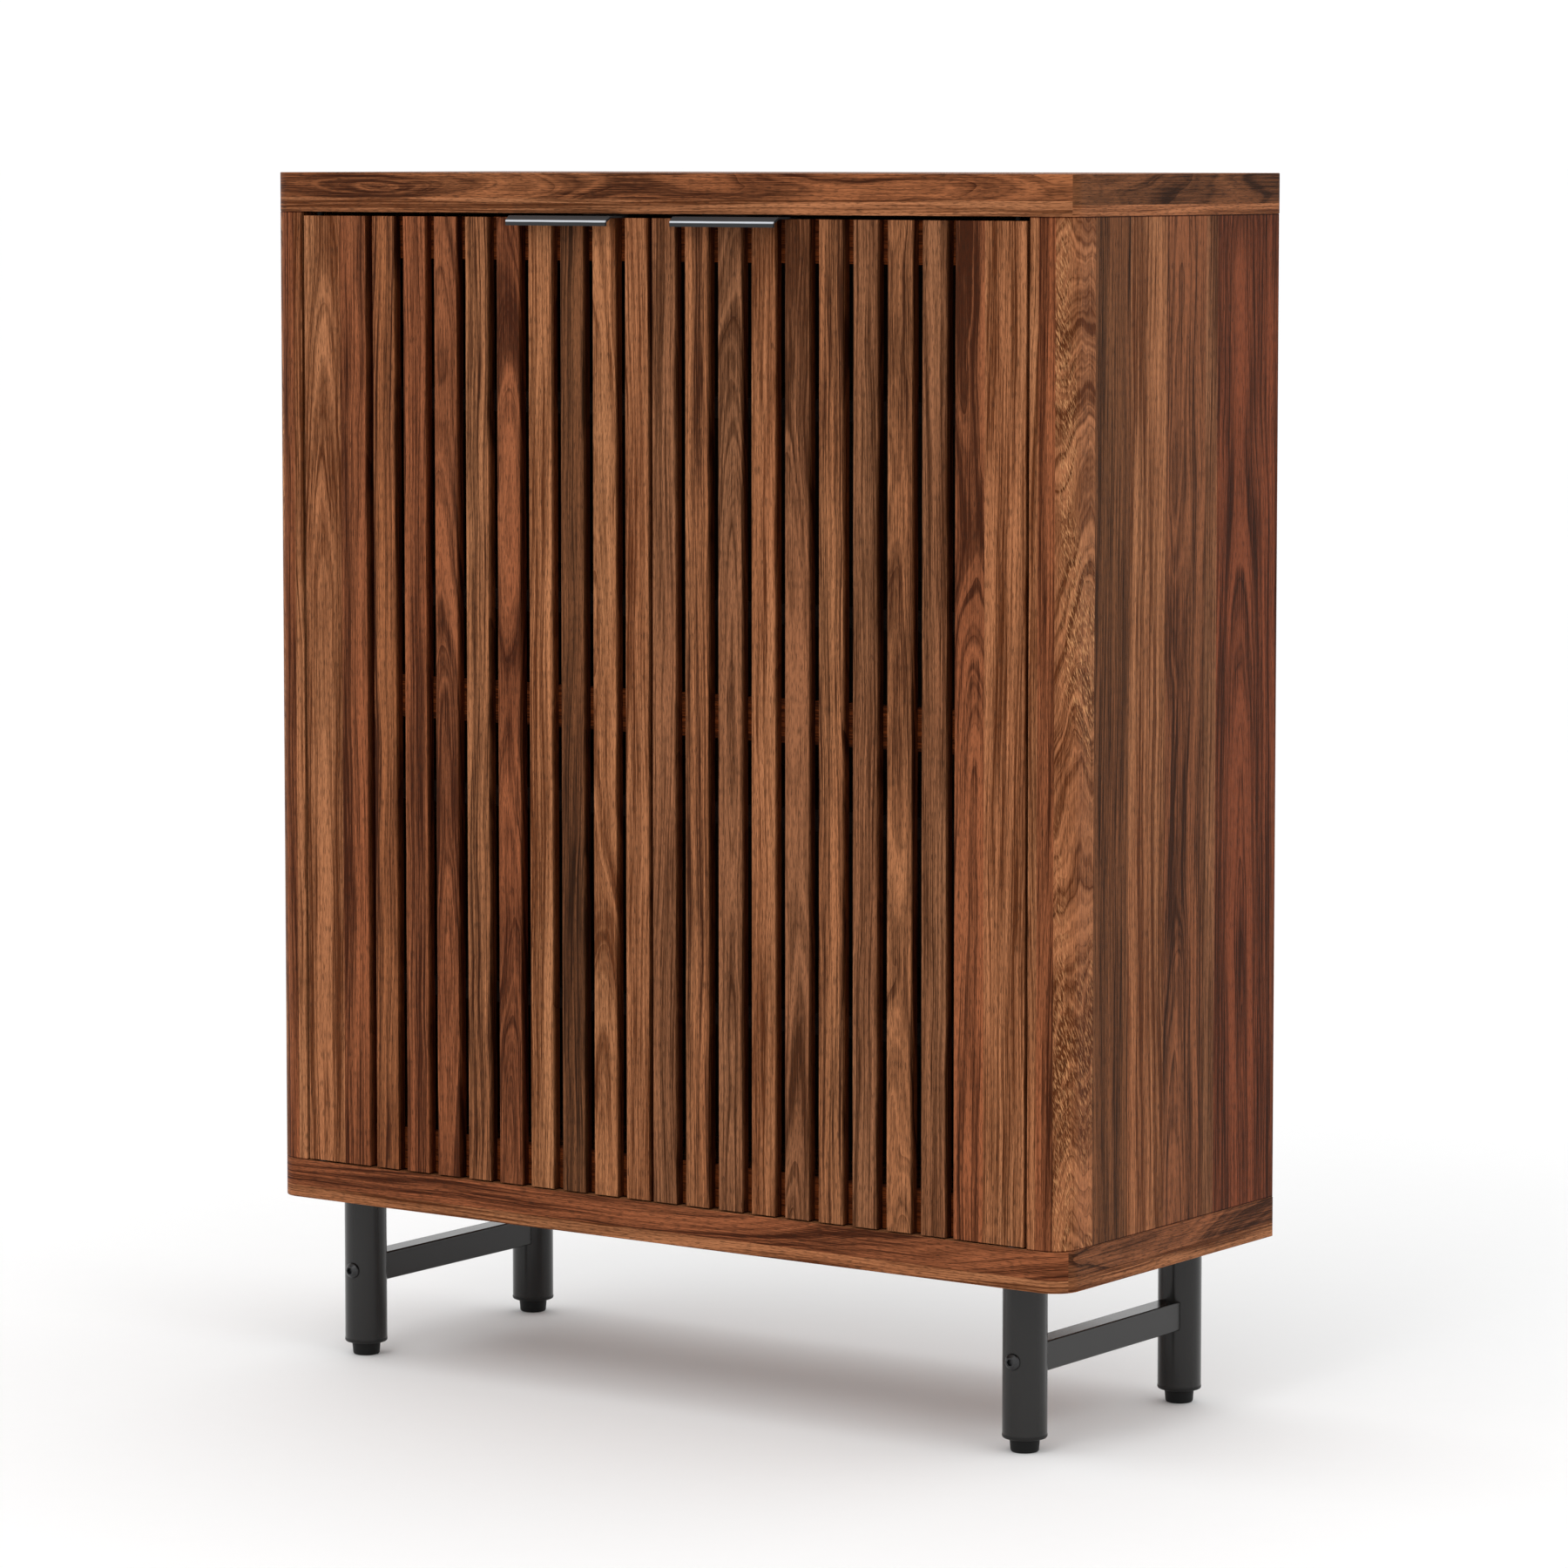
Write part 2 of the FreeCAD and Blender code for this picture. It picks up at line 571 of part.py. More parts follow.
def door_pull():
    """Left edge pull: a bent plate screwed to the door's top edge, with a sloped facet and a front lip."""
    body = new_body("left_pull")
    plate = d.pull_plate
    knee_y = d.pull_slope_depth - d.pull_projection
    lip_y = -d.pull_projection
    arris_z = plate - d.pull_slope_drop
    slope = math.atan2(float(d.pull_slope_drop), float(d.pull_slope_depth))
    inner_knee = plate * math.tan(slope / 2)
    inner_arris = plate * math.tan((math.pi / 2 - slope) / 2)
    profile = new_sketch(body, "YZ_Plane", lift=-d.pull_length / 2)
    outline(profile, [
        (d.pull_seat, 0), (d.pull_seat, plate), (knee_y, plate), (lip_y, arris_z),
        (lip_y, arris_z - d.pull_lip), (lip_y + plate, arris_z - d.pull_lip),
        (lip_y + plate, arris_z - inner_arris), (knee_y + inner_knee, 0)])
    pad(body, profile, d.pull_length)
    soften(body, plate * d.arris_share,
           lambda edge: runs_along(edge, 0) and edge_at(edge, 1, lip_y) and edge_at(edge, 2, arris_z))
    doc.recompute()

    half = d.pull_length / 2
    ends = new_sketch(body, lift=-d.pull_projection)
    for side in (1, -1):
        outline(ends, [(half * side, 0), (half * side, lip_y - 1), ((half - d.pull_taper) * side, lip_y - 1),
                       ((half - d.pull_taper) * side, lip_y)])
    pocket(body, ends, d.pull_projection * 2, upward=True)

    holes = new_sketch(body, lift=plate)
    for x in (-d.pull_screw_spacing / 2, d.pull_screw_spacing / 2):
        circle(holes, x, pull_screw_y, d.pull_screw_diameter / 2)
    pocket(body, holes, plate)
    tip = body.Tip
    sinks = [f"Edge{i}" for i, edge in enumerate(tip.Shape.Edges, start=1)
             if edge_at(edge, 2, plate) and near(edge.Length, math.pi * float(d.pull_screw_diameter))]
    countersink = body.newObject("PartDesign::Chamfer", "left_pull_countersink")
    countersink.Base = (tip, sinks)
    bind(countersink, Size=screw_head)
    place(body, pull_x, front_y, door_top_z)
    return body


left_pull = door_pull()

pilot_holes = new_sketch(left_rails["top"], lift=d.rail_height)
for spot in screw_spots:
    circle(pilot_holes, spot - door_x - d.stile_width, rail_thickness / 2, d.pull_screw_diameter / 2)
pocket(left_rails["top"], pilot_holes, d.pull_screw_length - d.pull_plate)

pull_screw = new_body("pull_screw")
screw_profile = new_sketch(pull_screw, "XZ_Plane")
screw_radius = d.pull_screw_diameter / 2
outline(screw_profile, [
    (0, -d.pull_screw_length), (screw_radius, -d.pull_screw_length + screw_radius * 2),
    (screw_radius, -screw_head), (screw_radius + screw_head, 0), (0, 0)])
revolve(pull_screw, screw_profile)
doc.recompute()
slots = new_sketch(pull_screw)
slot_width = d.pull_screw_diameter * d.screw_slot_share
slot_length = slot_width * d.screw_slot_reach
rectangle(slots, -slot_length / 2, -slot_width / 2, slot_length, slot_width)
pocket(pull_screw, slots, d.screw_slot_depth)
slots = new_sketch(pull_screw)
rectangle(slots, -slot_width / 2, -slot_length / 2, slot_width, slot_length)
pocket(pull_screw, slots, d.screw_slot_depth)
left_pull_screws = group("left_pull_screws", pull_screw, [
    at(spot, front_y + pull_screw_y, door_top_z + d.pull_plate) for spot in screw_spots])

upper_pin = doc.addObject("Part::Cylinder", "upper_pin")
bind(upper_pin, Radius=d.pivot_diameter / 2,
     Height=d.pivot_in_stile + d.door_top_gap + d.pivot_in_bush)
lower_pin = doc.addObject("Part::Cylinder", "lower_pin")
bind(lower_pin, Radius=d.pivot_diameter / 2,
     Height=d.pivot_in_stile + d.door_bottom_gap + d.pivot_in_bush)
place(upper_pin, pivot_x, pivot_y, door_top_z - d.pivot_in_stile)
place(lower_pin, pivot_x, pivot_y, floor_z - d.pivot_in_bush)
left_pivot_pins = doc.addObject("Part::Compound", "left_pivot_pins")
left_pivot_pins.Label = "left_pivot_pins"
left_pivot_pins.Links = [upper_pin, lower_pin]

bush = new_body("bush")
bush_section = new_sketch(bush)
circle(bush_section, 0, 0, d.bush_diameter / 2)
circle(bush_section, 0, 0, d.pivot_diameter / 2 + d.running_clearance)
pad(bush, bush_section, d.bush_length)
pivot_bushes = group("pivot_bushes", bush, [
    at(side * float(pivot_x), pivot_y, z) for z in (floor_z - d.bush_length, ceiling_z) for side in (1, -1)])

washer = new_body("washer")
washer_section = new_sketch(washer)
circle(washer_section, 0, 0, d.washer_diameter / 2)
circle(washer_section, 0, 0, d.pivot_diameter / 2 + d.running_clearance)
pad(washer, washer_section, d.door_bottom_gap - d.washer_clearance)
pivot_washers = group("pivot_washers", washer, [
    at(side * float(pivot_x), pivot_y, floor_z) for side in (1, -1)])

left_strike_plate = plain_box(
    "left_strike_plate", d.strike_length, d.strike_thickness, d.strike_height,
    -d.catch_offset - d.strike_length / 2, front_y + d.door_thickness, door_top_z - d.strike_height)

catch = new_body("catch")
catch_block = new_sketch(catch)
rectangle(catch_block, -d.catch_length / 2, 0, d.catch_length, d.catch_depth)
pad(catch, catch_block, d.catch_height)
soften(catch, d.edge_easing, lambda edge: runs_along(edge, 2) or edge_at(edge, 2, 0))
magnetic_catches = group("magnetic_catches", catch, [
    at(side * -float(d.catch_offset), front_y + d.door_thickness + d.strike_thickness + d.catch_gap,
       ceiling_z - d.catch_height) for side in (1, -1)])

left_door_pieces = [left_stile, *left_rails.values(), *left_slats, left_pull, left_pull_screws,
                    left_pivot_pins, left_strike_plate]
right_door_pieces = [mirrored(piece.Label.replace("left_", "right_"), piece) for piece in left_door_pieces]


# ---------------------------------------------------------------- legs, stretchers and feet

def front_leg():
    """Front left leg: a tube with a threaded steel head welded into its top, from its lower end."""
    body = new_body("front_left_leg")
    length = d.under_height - leg_foot_z
    bore = leg_radius - d.leg_wall
    thread = d.bolt_diameter / 2
    profile = new_sketch(body, "XZ_Plane")
    outline(profile, [
        (bore, 0), (leg_radius, 0), (leg_radius, length), (thread, length),
        (thread, length - d.leg_head), (bore, length - d.leg_head)])
    revolve(body, profile)
    doc.recompute()
    cross_hole = new_sketch(body, "XZ_Plane", lift=-leg_radius)
    circle(cross_hole, 0, d.stretcher_level - leg_foot_z, d.bolt_diameter / 2 + d.bolt_hole_clearance)
    pocket(body, cross_hole, d.leg_diameter, upward=True)
    place(body, leg_x, leg_y, leg_foot_z)
    return body


def stretcher():
    """Left stretcher: a tube with solid threaded ends, hollowed to sit against the round legs."""
    body = new_body("left_stretcher")
    half_width, half_height = d.stretcher_width / 2, d.stretcher_height / 2
    wall = d.stretcher_wall
    section = new_sketch(body, "XZ_Plane", lift=-stretcher_length - saddle_depth)
    rectangle(section, -half_width, -half_height, d.stretcher_width, d.stretcher_height)
    pad(body, section, stretcher_length + saddle_depth * 2)
    soften(body, wall, lambda edge: runs_along(edge, 1))
    doc.recompute()

    saddles = new_sketch(body, lift=-half_height)
    circle(saddles, 0, -leg_radius, leg_radius)
    circle(saddles, 0, stretcher_length + leg_radius, leg_radius)
    pocket(body, saddles, d.stretcher_height, upward=True)

    hollow = new_sketch(body, lift=-half_height + wall)
    rectangle(hollow, -half_width + wall, d.stretcher_block,
              d.stretcher_width - wall * 2, stretcher_length - d.stretcher_block * 2)
    pocket(body, hollow, d.stretcher_height - wall * 2, upward=True)

    threads = new_sketch(body, "XZ_Plane", lift=-stretcher_length - saddle_depth)
    circle(threads, 0, 0, d.bolt_diameter / 2)
    pocket(body, threads, stretcher_length + saddle_depth * 2, upward=True)
    place(body, leg_x, leg_y + leg_radius, d.stretcher_level)
    return body


def levelling_foot():
    """Front left levelling foot: a moulded pad on a steel stem, from the floor."""
    body = new_body("front_left_foot")
    top = d.foot_height - d.foot_clearance
    stem = d.stem_diameter / 2
    profile = new_sketch(body, "XZ_Plane")
    outline(profile, [
        (0, 0), (d.foot_lower_diameter / 2, 0), (d.foot_upper_diameter / 2, top),
        (stem, top), (stem, top + d.stem_length), (0, top + d.stem_length)])
    revolve(body, profile)
    soften(body, d.foot_edge_radius, lambda edge: edge_at(edge, 2, 0) and len(edge.Vertexes) == 1)
    place(body, leg_x, leg_y, ZERO)
    return body


front_left_leg = front_leg()
left_stretcher = stretcher()
front_left_foot = levelling_foot()

end_cap = new_body("end_cap")
cap_profile = new_sketch(end_cap, "XZ_Plane")
rim_radius = leg_radius + d.cap_overhang
plug_radius = leg_radius - d.leg_wall
stem_bore = d.stem_diameter / 2 + d.running_clearance
outline(cap_profile, [
    (stem_bore, 0), (rim_radius, 0), (rim_radius, d.cap_rim), (plug_radius, d.cap_rim),
    (plug_radius, d.cap_rim + d.cap_plug_length), (stem_bore, d.cap_rim + d.cap_plug_length)])
revolve(end_cap, cap_profile)
soften(end_cap, d.cap_rounding,
       lambda edge: edge_at(edge, 2, 0) and edge.BoundBox.XLength > float(plug_radius) * 2)
corners = [(side * float(leg_x), y) for side in (1, -1) for y in (leg_y, middle_y * 2 - leg_y)]
leg_end_caps = group("leg_end_caps", end_cap, [at(x, y, d.foot_height) for x, y in corners])

frame_bolt = new_body("frame_bolt")
bolt_profile = new_sketch(frame_bolt, "XZ_Plane")
head_radius, head_height = d.bolt_head_diameter / 2, d.bolt_head_height
brim_height = head_height * d.bolt_brim_share
outline(bolt_profile, [
    (0, -d.bolt_length), (d.bolt_diameter / 2, -d.bolt_length), (d.bolt_diameter / 2, 0),
    (head_radius, 0), (head_radius, brim_height), (head_radius * d.bolt_crown_share, head_height),
    (0, head_height)])
revolve(frame_bolt, bolt_profile)
soften(frame_bolt, d.bolt_head_rounding, lambda edge: edge_at(edge, 2, brim_height))
socket = new_sketch(frame_bolt, lift=d.bolt_head_height)
socket_reach = d.bolt_socket / math.sqrt(3)
socket_turns = [math.radians(60 * i) for i in range(6)]
outline(socket, [(socket_reach * math.cos(turn), socket_reach * math.sin(turn)) for turn in socket_turns])
pocket(frame_bolt, socket, d.bolt_socket_depth)
bolt_seat_z = floor_z - d.counterbore_depth
bolt_places = [at(x, y, bolt_seat_z) for x, y in corners]
for side in (1, -1):
    x = side * float(leg_x)
    bolt_places.append(at(x, leg_y - leg_radius, d.stretcher_level, Vector(1, 0, 0), 90))
    bolt_places.append(at(x, middle_y * 2 - leg_y + leg_radius, d.stretcher_level, Vector(1, 0, 0), -90))
frame_bolts = group("frame_bolts", frame_bolt, bolt_places)

back_left_leg = mirrored("back_left_leg", front_left_leg, "y", middle_y)
back_left_foot = mirrored("back_left_foot", front_left_foot, "y", middle_y)
left_frame = [front_left_leg, back_left_leg, left_stretcher, front_left_foot, back_left_foot]
right_frame = [mirrored(piece.Label.replace("left", "right"), piece) for piece in left_frame]


# ---------------------------------------------------------------- check and write

sub_parts = [
    top_panel, bottom_panel, left_side_panel, right_side_panel, back_panel, *shelves, shelf_supports,
    carcass_dowels, pivot_bushes, pivot_washers, magnetic_catches, frame_bolts, leg_end_caps,
    *left_frame, *right_frame, *left_door_pieces, *right_door_pieces]

doc.recompute()
for obj in doc.Objects:
    if "Invalid" in obj.State or "Error" in obj.State:
        raise RuntimeError(f"{obj.Label} did not compute: {obj.State}")
os.makedirs("parts", exist_ok=True)
for part in sub_parts:
    if part.Shape.isNull() or not part.Shape.isValid():
        raise RuntimeError(f"{part.Label} has no valid shape")
for part in sub_parts:
    part.Shape.exportStep(f"parts/{part.Label}.step")
print(len(sub_parts), "sub-parts written")
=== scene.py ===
"""Finishes for a walnut shoe cabinet with slatted doors, laid out as a Blender add-on and run as a script.

The CAD pieces are the shapes. This file gives each of them its material, and adds the camera, the lights
and the floor. Every length is in metres. A seed picks which part of an endless grain a piece is cut from.
"""
import math
from collections import namedtuple

import bpy
from bpy.props import FloatProperty, FloatVectorProperty, PointerProperty
from mathutils import Euler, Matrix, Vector


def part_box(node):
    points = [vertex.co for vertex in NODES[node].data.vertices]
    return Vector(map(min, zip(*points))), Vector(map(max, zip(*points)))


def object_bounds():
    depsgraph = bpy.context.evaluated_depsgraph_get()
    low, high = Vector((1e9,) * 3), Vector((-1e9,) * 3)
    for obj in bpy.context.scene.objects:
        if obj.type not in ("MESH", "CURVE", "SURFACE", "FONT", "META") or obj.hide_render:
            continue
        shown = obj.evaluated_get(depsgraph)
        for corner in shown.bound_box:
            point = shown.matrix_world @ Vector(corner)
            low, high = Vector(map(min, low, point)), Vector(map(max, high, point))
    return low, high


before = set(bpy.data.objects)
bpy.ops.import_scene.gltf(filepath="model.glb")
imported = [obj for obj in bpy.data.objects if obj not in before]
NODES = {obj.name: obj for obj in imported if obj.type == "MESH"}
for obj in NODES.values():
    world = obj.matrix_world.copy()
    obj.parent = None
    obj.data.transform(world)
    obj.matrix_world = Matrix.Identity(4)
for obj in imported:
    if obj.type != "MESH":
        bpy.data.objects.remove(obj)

bl_info = {
    "name": "Walnut shoe cabinet",
    "version": (1, 0, 0),
    "blender": (4, 5, 0),
    "location": "View3D > Sidebar > Shoe cabinet",
    "description": "Finishes, camera and light for a slatted walnut shoe cabinet",
    "category": "Object",
}

CAD_LOW, CAD_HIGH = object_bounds()


def srgb(red, green, blue):
    """A colour given as 0 to 255, turned into the linear numbers that shaders use."""
    def linear(level):
        level /= 255
        return level / 12.92 if level <= 0.04045 else ((level + 0.055) / 1.055) ** 2.4
    return (linear(red), linear(green), linear(blue), 1.0)


# The light and dark ends of each tone that the walnut strips come in.
TONES = {
    "tan": (srgb(170, 112, 75), srgb(84, 44, 21)),
    "honey": (srgb(176, 118, 79), srgb(90, 49, 25)),
    "flame": (srgb(167, 110, 73), srgb(61, 31, 15)),
    "russet": (srgb(157, 97, 61), srgb(57, 27, 13)),
    "red": (srgb(150, 89, 57), srgb(62, 29, 14)),
    "chestnut": (srgb(140, 86, 56), srgb(52, 27, 14)),
    "auburn": (srgb(127, 68, 43), srgb(50, 22, 9)),
    "grey": (srgb(147, 97, 66), srgb(66, 36, 18)),
    "umber": (srgb(121, 76, 48), srgb(44, 24, 12)),
    # The rails' tone is painted shade: their walnut is darkened to the shade they lie in behind the slats.
    "shade": (srgb(108, 52, 22), srgb(48, 20, 8)),
}

# How far the surface's direction leans out sideways, from 0 to 1, where a panel's end takes over from its
# front at the rounded corner, and how far it leans up or down where a face takes over from an edge.
END_TURN = 0.89
FACE_TURN = 0.707
# Where the strips of a panel's ends and faces begin, beyond those of its front edge, across the grain.
ENDS_FROM = 0.06
FACES_FROM = 0.12
# How far along the tree the ends are cut from, so that their grain isn't the front's.
ENDS_ALONG = 3.3

# How often the parts of the grain change in a metre across, through and along it.
SLOW_WANDER = (9.0, 9.0, 1.7)
QUICK_WANDER = (30.0, 30.0, 9.0)
PATCHES = (28.0, 28.0, 5.0)
WARM_PATCHES = (16.0, 16.0, 3.0)
FLECKS = (560.0, 560.0, 130.0)
FIBRES = (1150.0, 1150.0, 13.0)
PORES = (1900.0, 1900.0, 120.0)
SEED_STEPS = (3.17, 5.71, 9.43)

FLECK_COLOR = srgb(214, 156, 106)
PORE_COLOR = (0.022, 0.010, 0.005, 1.0)
COOL_TINT = (0.99, 1.01, 1.01, 1.0)
WARM_TINT = (1.03, 0.97, 0.94, 1.0)

# How deep the finishes' finest relief goes.
GRAIN_DEPTH = 0.00012
INTERIOR_DEPTH = 0.00006
PEEL_DEPTH = 0.00003
TURNED_DEPTH = 0.00001

# Painted shade: what the wood's colour is multiplied by for the shade that falls between the slats and in the
# joints' grooves. It starts below the eased front edges, has its first share just behind them, and is at its
# darkest at the recess that a piece is given.
PAINTED_SHADE = (0.28, 0.17, 0.12, 1.0)
SHADE_STARTS, SHADE_SHOWS = 0.0007, 0.0011
SHADE_SHARE = 0.45
# Painted shade: the dark line of shade in the groove along a joint runs between these distances from the end
# of the board.
JOINT_SHADE_OUTER, JOINT_SHADE_INNER = 0.0006, 0.0012

# How much light the finishes mirror, as the shader's specular level.
WOOD_SHINE = 0.03
INTERIOR_SHINE = 0.12
PLASTIC_SHINE = 0.22
PULL_SHINE = 0.32
COAT_SHINE = 0.36
PULL_METAL = 0.10

# Painted highlight along a pull's arris: the distances from it where the bright band has faded out and where
# it is at full strength, and how far the brushing frays it.
ARRIS_HIGHLIGHT_BAND = (0.0016, 0.0008)
ARRIS_HIGHLIGHT_FRAY = 0.0006
ARRIS_HIGHLIGHT_COLOR = srgb(196, 200, 206)

# A strip of wood in a board: where it starts as a share of the board's width, its tone, how far the heart of
# the tree lies from the board's near edge in metres, and how wavy its grain is.
Plank = namedtuple("Plank", "start tone heart curl")

# The same for the panels, with the start in metres across the grain.
EDGE_STRIPS = {
    "top_panel": [(0.0, "tan", 0.35, 0.0), (0.0105, "russet", 0.023, 0.12),
                  (ENDS_FROM, "tan", 0.30, 0.0), (ENDS_FROM + 0.008, "umber", ENDS_FROM + 0.020, 0.18)],
    "bottom_panel": [(0.0, "tan", 0.35, 0.0), (0.010, "red", 0.045, 0.15), (0.031, "tan", 0.35, 0.0),
                     (ENDS_FROM, "tan", 0.30, 0.0), (ENDS_FROM + 0.012, "chestnut", ENDS_FROM + 0.022, 0.22)],
}
FACE_STRIPS = [(0.0, "tan", 0.06, 0.0), (0.06, "flame", 0.09, 0.0), (0.13, "red", 0.40, 0.0),
               (0.19, "tan", 0.21, 0.0), (0.26, "flame", 0.60, 0.0)]
SIDE_STRIPS = [(0.0, "tan", 0.30, 0.0), (0.008, "red", 0.20, 0.0), (0.024, "tan", 0.060, 1.0),
               (0.076, "umber", 0.40, 0.0), (0.127, "tan", -0.20, 0.0), (0.180, "chestnut", 0.200, 0.05),
               (0.240, "grey", 0.60, 0.0), (0.258, "auburn", 0.300, 0.1)]

SIDES = ("left", "right")
STILES = {
    "left": [Plank(0.0, "tan", 0.018, 0.1), Plank(0.59, "red", 0.20, 0.0)],
    "right": [Plank(0.0, "red", 0.014, 0.1), Plank(0.42, "tan", 0.25, 0.0)],
}
SLATS = {
    "left": ("russet", "red", "red", "flame", "red", "honey", "umber", "honey", "tan"),
    "right": ("grey", "flame", "grey", "flame", "grey", "tan", "grey", "flame", "grey"),
}
SLAT_HEARTS = (0.12, -0.09, 0.014, 0.15, 0.010, -0.12, 0.20, 0.008, -0.07)
SLAT_CURL = 0.1
# How deep behind the front face the painted shade between the slats reaches its darkest.
STILE_RECESS = 0.008
SLAT_RECESS = 0.005
SEEDS = {"top_panel": 3, "bottom_panel": 23, "left_side_panel": 41, "right_side_panel": 58, "left_stile": 71,
         "right_stile": 76, "bottom_rail": 90, "middle_rail": 91, "top_rail": 92, "left_slats": 0,
         "right_slats": 50, "dowels": 120}
SEEDS_PER_SLAT = 2

# The lamps: name, place, width and watts.
LAMPS = [("key", Vector((0.6, -3.2, 3.4)), 1.4, 22.0), ("side", Vector((3.4, -1.2, 3.0)), 1.4, 8.0)]
# The floor reaches so far that its edge hides behind the horizon, and the camera sees beyond it.
FLOOR_REACH = 400.0
SEEN_REACH = 1000.0


# ---------------------------------------------------------------- node helpers

class Graph:
    """Short calls that add shader nodes to a tree and link them."""

    def __init__(self, tree):
        self.tree = tree

    def node(self, kind, inputs=None, **settings):
        node = self.tree.nodes.new(kind)
        for name, value in settings.items():
            setattr(node, name, value)
        for key, value in (inputs or {}).items():
            self.feed(node.inputs[key], value)
        return node

    def feed(self, socket, value):
        if isinstance(value, bpy.types.NodeSocket):
            self.tree.links.new(value, socket)
        else:
            socket.default_value = value

    def math(self, operation, first, second=0.0, third=0.0, clamp=False):
        inputs = {0: first, 1: second, 2: third}
        return self.node("ShaderNodeMath", inputs, operation=operation, use_clamp=clamp).outputs[0]

    def sway(self, noise, amount, value, clamp=False):
        """Move a value by a noise: half the amount up at its brightest and half down at its darkest."""
        return self.math("MULTIPLY_ADD", self.math("SUBTRACT", noise, 0.5), amount, value, clamp=clamp)

    def vector(self, operation, first, second=(0.0, 0.0, 0.0)):
        return self.node("ShaderNodeVectorMath", {0: first, 1: second}, operation=operation).outputs["Vector"]

    def length(self, vector):
        return self.node("ShaderNodeVectorMath", {0: vector}, operation="LENGTH").outputs["Value"]

    def combine(self, x=0.0, y=0.0, z=0.0):
        return self.node("ShaderNodeCombineXYZ", {0: x, 1: y, 2: z}).outputs[0]

    def noise(self, vector, scale=1.0, detail=2.0, roughness=0.5, output="Fac"):
        inputs = {"Vector": vector, "Scale": scale, "Detail": detail, "Roughness": roughness}
        return self.node("ShaderNodeTexNoise", inputs).outputs[output]

    def grain(self, place, stretch, **settings):
        """Noise with its own number of changes in a metre along each axis."""
        return self.noise(self.vector("MULTIPLY", place, stretch), **settings)

    def span(self, value, low, high, to_low=0.0, to_high=1.0):
        """Map a range onto another, clamped at both ends."""
        inputs = {"Value": value, "From Min": low, "From Max": high, "To Min": to_low, "To Max": to_high}
        return self.node("ShaderNodeMapRange", inputs).outputs["Result"]

    def mix(self, factor, first, second, blend="MIX"):
        node = self.node("ShaderNodeMix", data_type="RGBA", blend_type=blend)
        self.feed(node.inputs["Factor"], factor)
        for name, value in (("A", first), ("B", second)):
            socket = next(s for s in node.inputs if s.name == name and s.type == "RGBA")
            self.feed(socket, value)
        return next(s for s in node.outputs if s.type == "RGBA")

    def ramp(self, factor, stops, interpolation="LINEAR"):
        node = self.node("ShaderNodeValToRGB", {"Fac": factor})
        ramp = node.color_ramp
        ramp.interpolation = interpolation
        while len(ramp.elements) < len(stops):
            ramp.elements.new(1.0)
        for element, (position, colour) in zip(ramp.elements, stops):
            element.position = position
            element.color = colour
        return node.outputs["Color"]

    def place(self):
        """The piece's own coordinates, which stay with it as it moves."""
        return self.node("ShaderNodeTexCoord").outputs["Object"]

    def split(self, vector):
        return self.node("ShaderNodeSeparateXYZ", {0: vector}).outputs

    def split_colour(self, colour):
        return self.node("ShaderNodeSeparateColor", {0: colour}).outputs


def new_material(name):
    """A material with one Principled shader, returned as its graph, the shader and itself."""
    material = bpy.data.materials.new(name)
    material.use_nodes = True
    material.node_tree.nodes.clear()
    graph = Graph(material.node_tree)
    shader = graph.node("ShaderNodeBsdfPrincipled")
    output = graph.node("ShaderNodeOutputMaterial")
    graph.feed(output.inputs["Surface"], shader.outputs[0])
    return graph, shader, material


def tint(colour, factor):
    """A colour made darker or lighter."""
    return tuple(level * factor for level in colour[:3]) + (1.0,)


def raise_surface(graph, shader, height, depth):
    """Bump from a height of 0 to 1 that stands for a depth in metres."""
    bump = graph.node("ShaderNodeBump", {"Height": height, "Distance": depth, "Strength": 1.0})
    graph.feed(shader.inputs["Normal"], bump.outputs["Normal"])


def finish_nodes(names, material):
    """Give CAD pieces a material."""
    for name in names:
        for slot in NODES[name].material_slots:
            slot.material = material


# ---------------------------------------------------------------- walnut

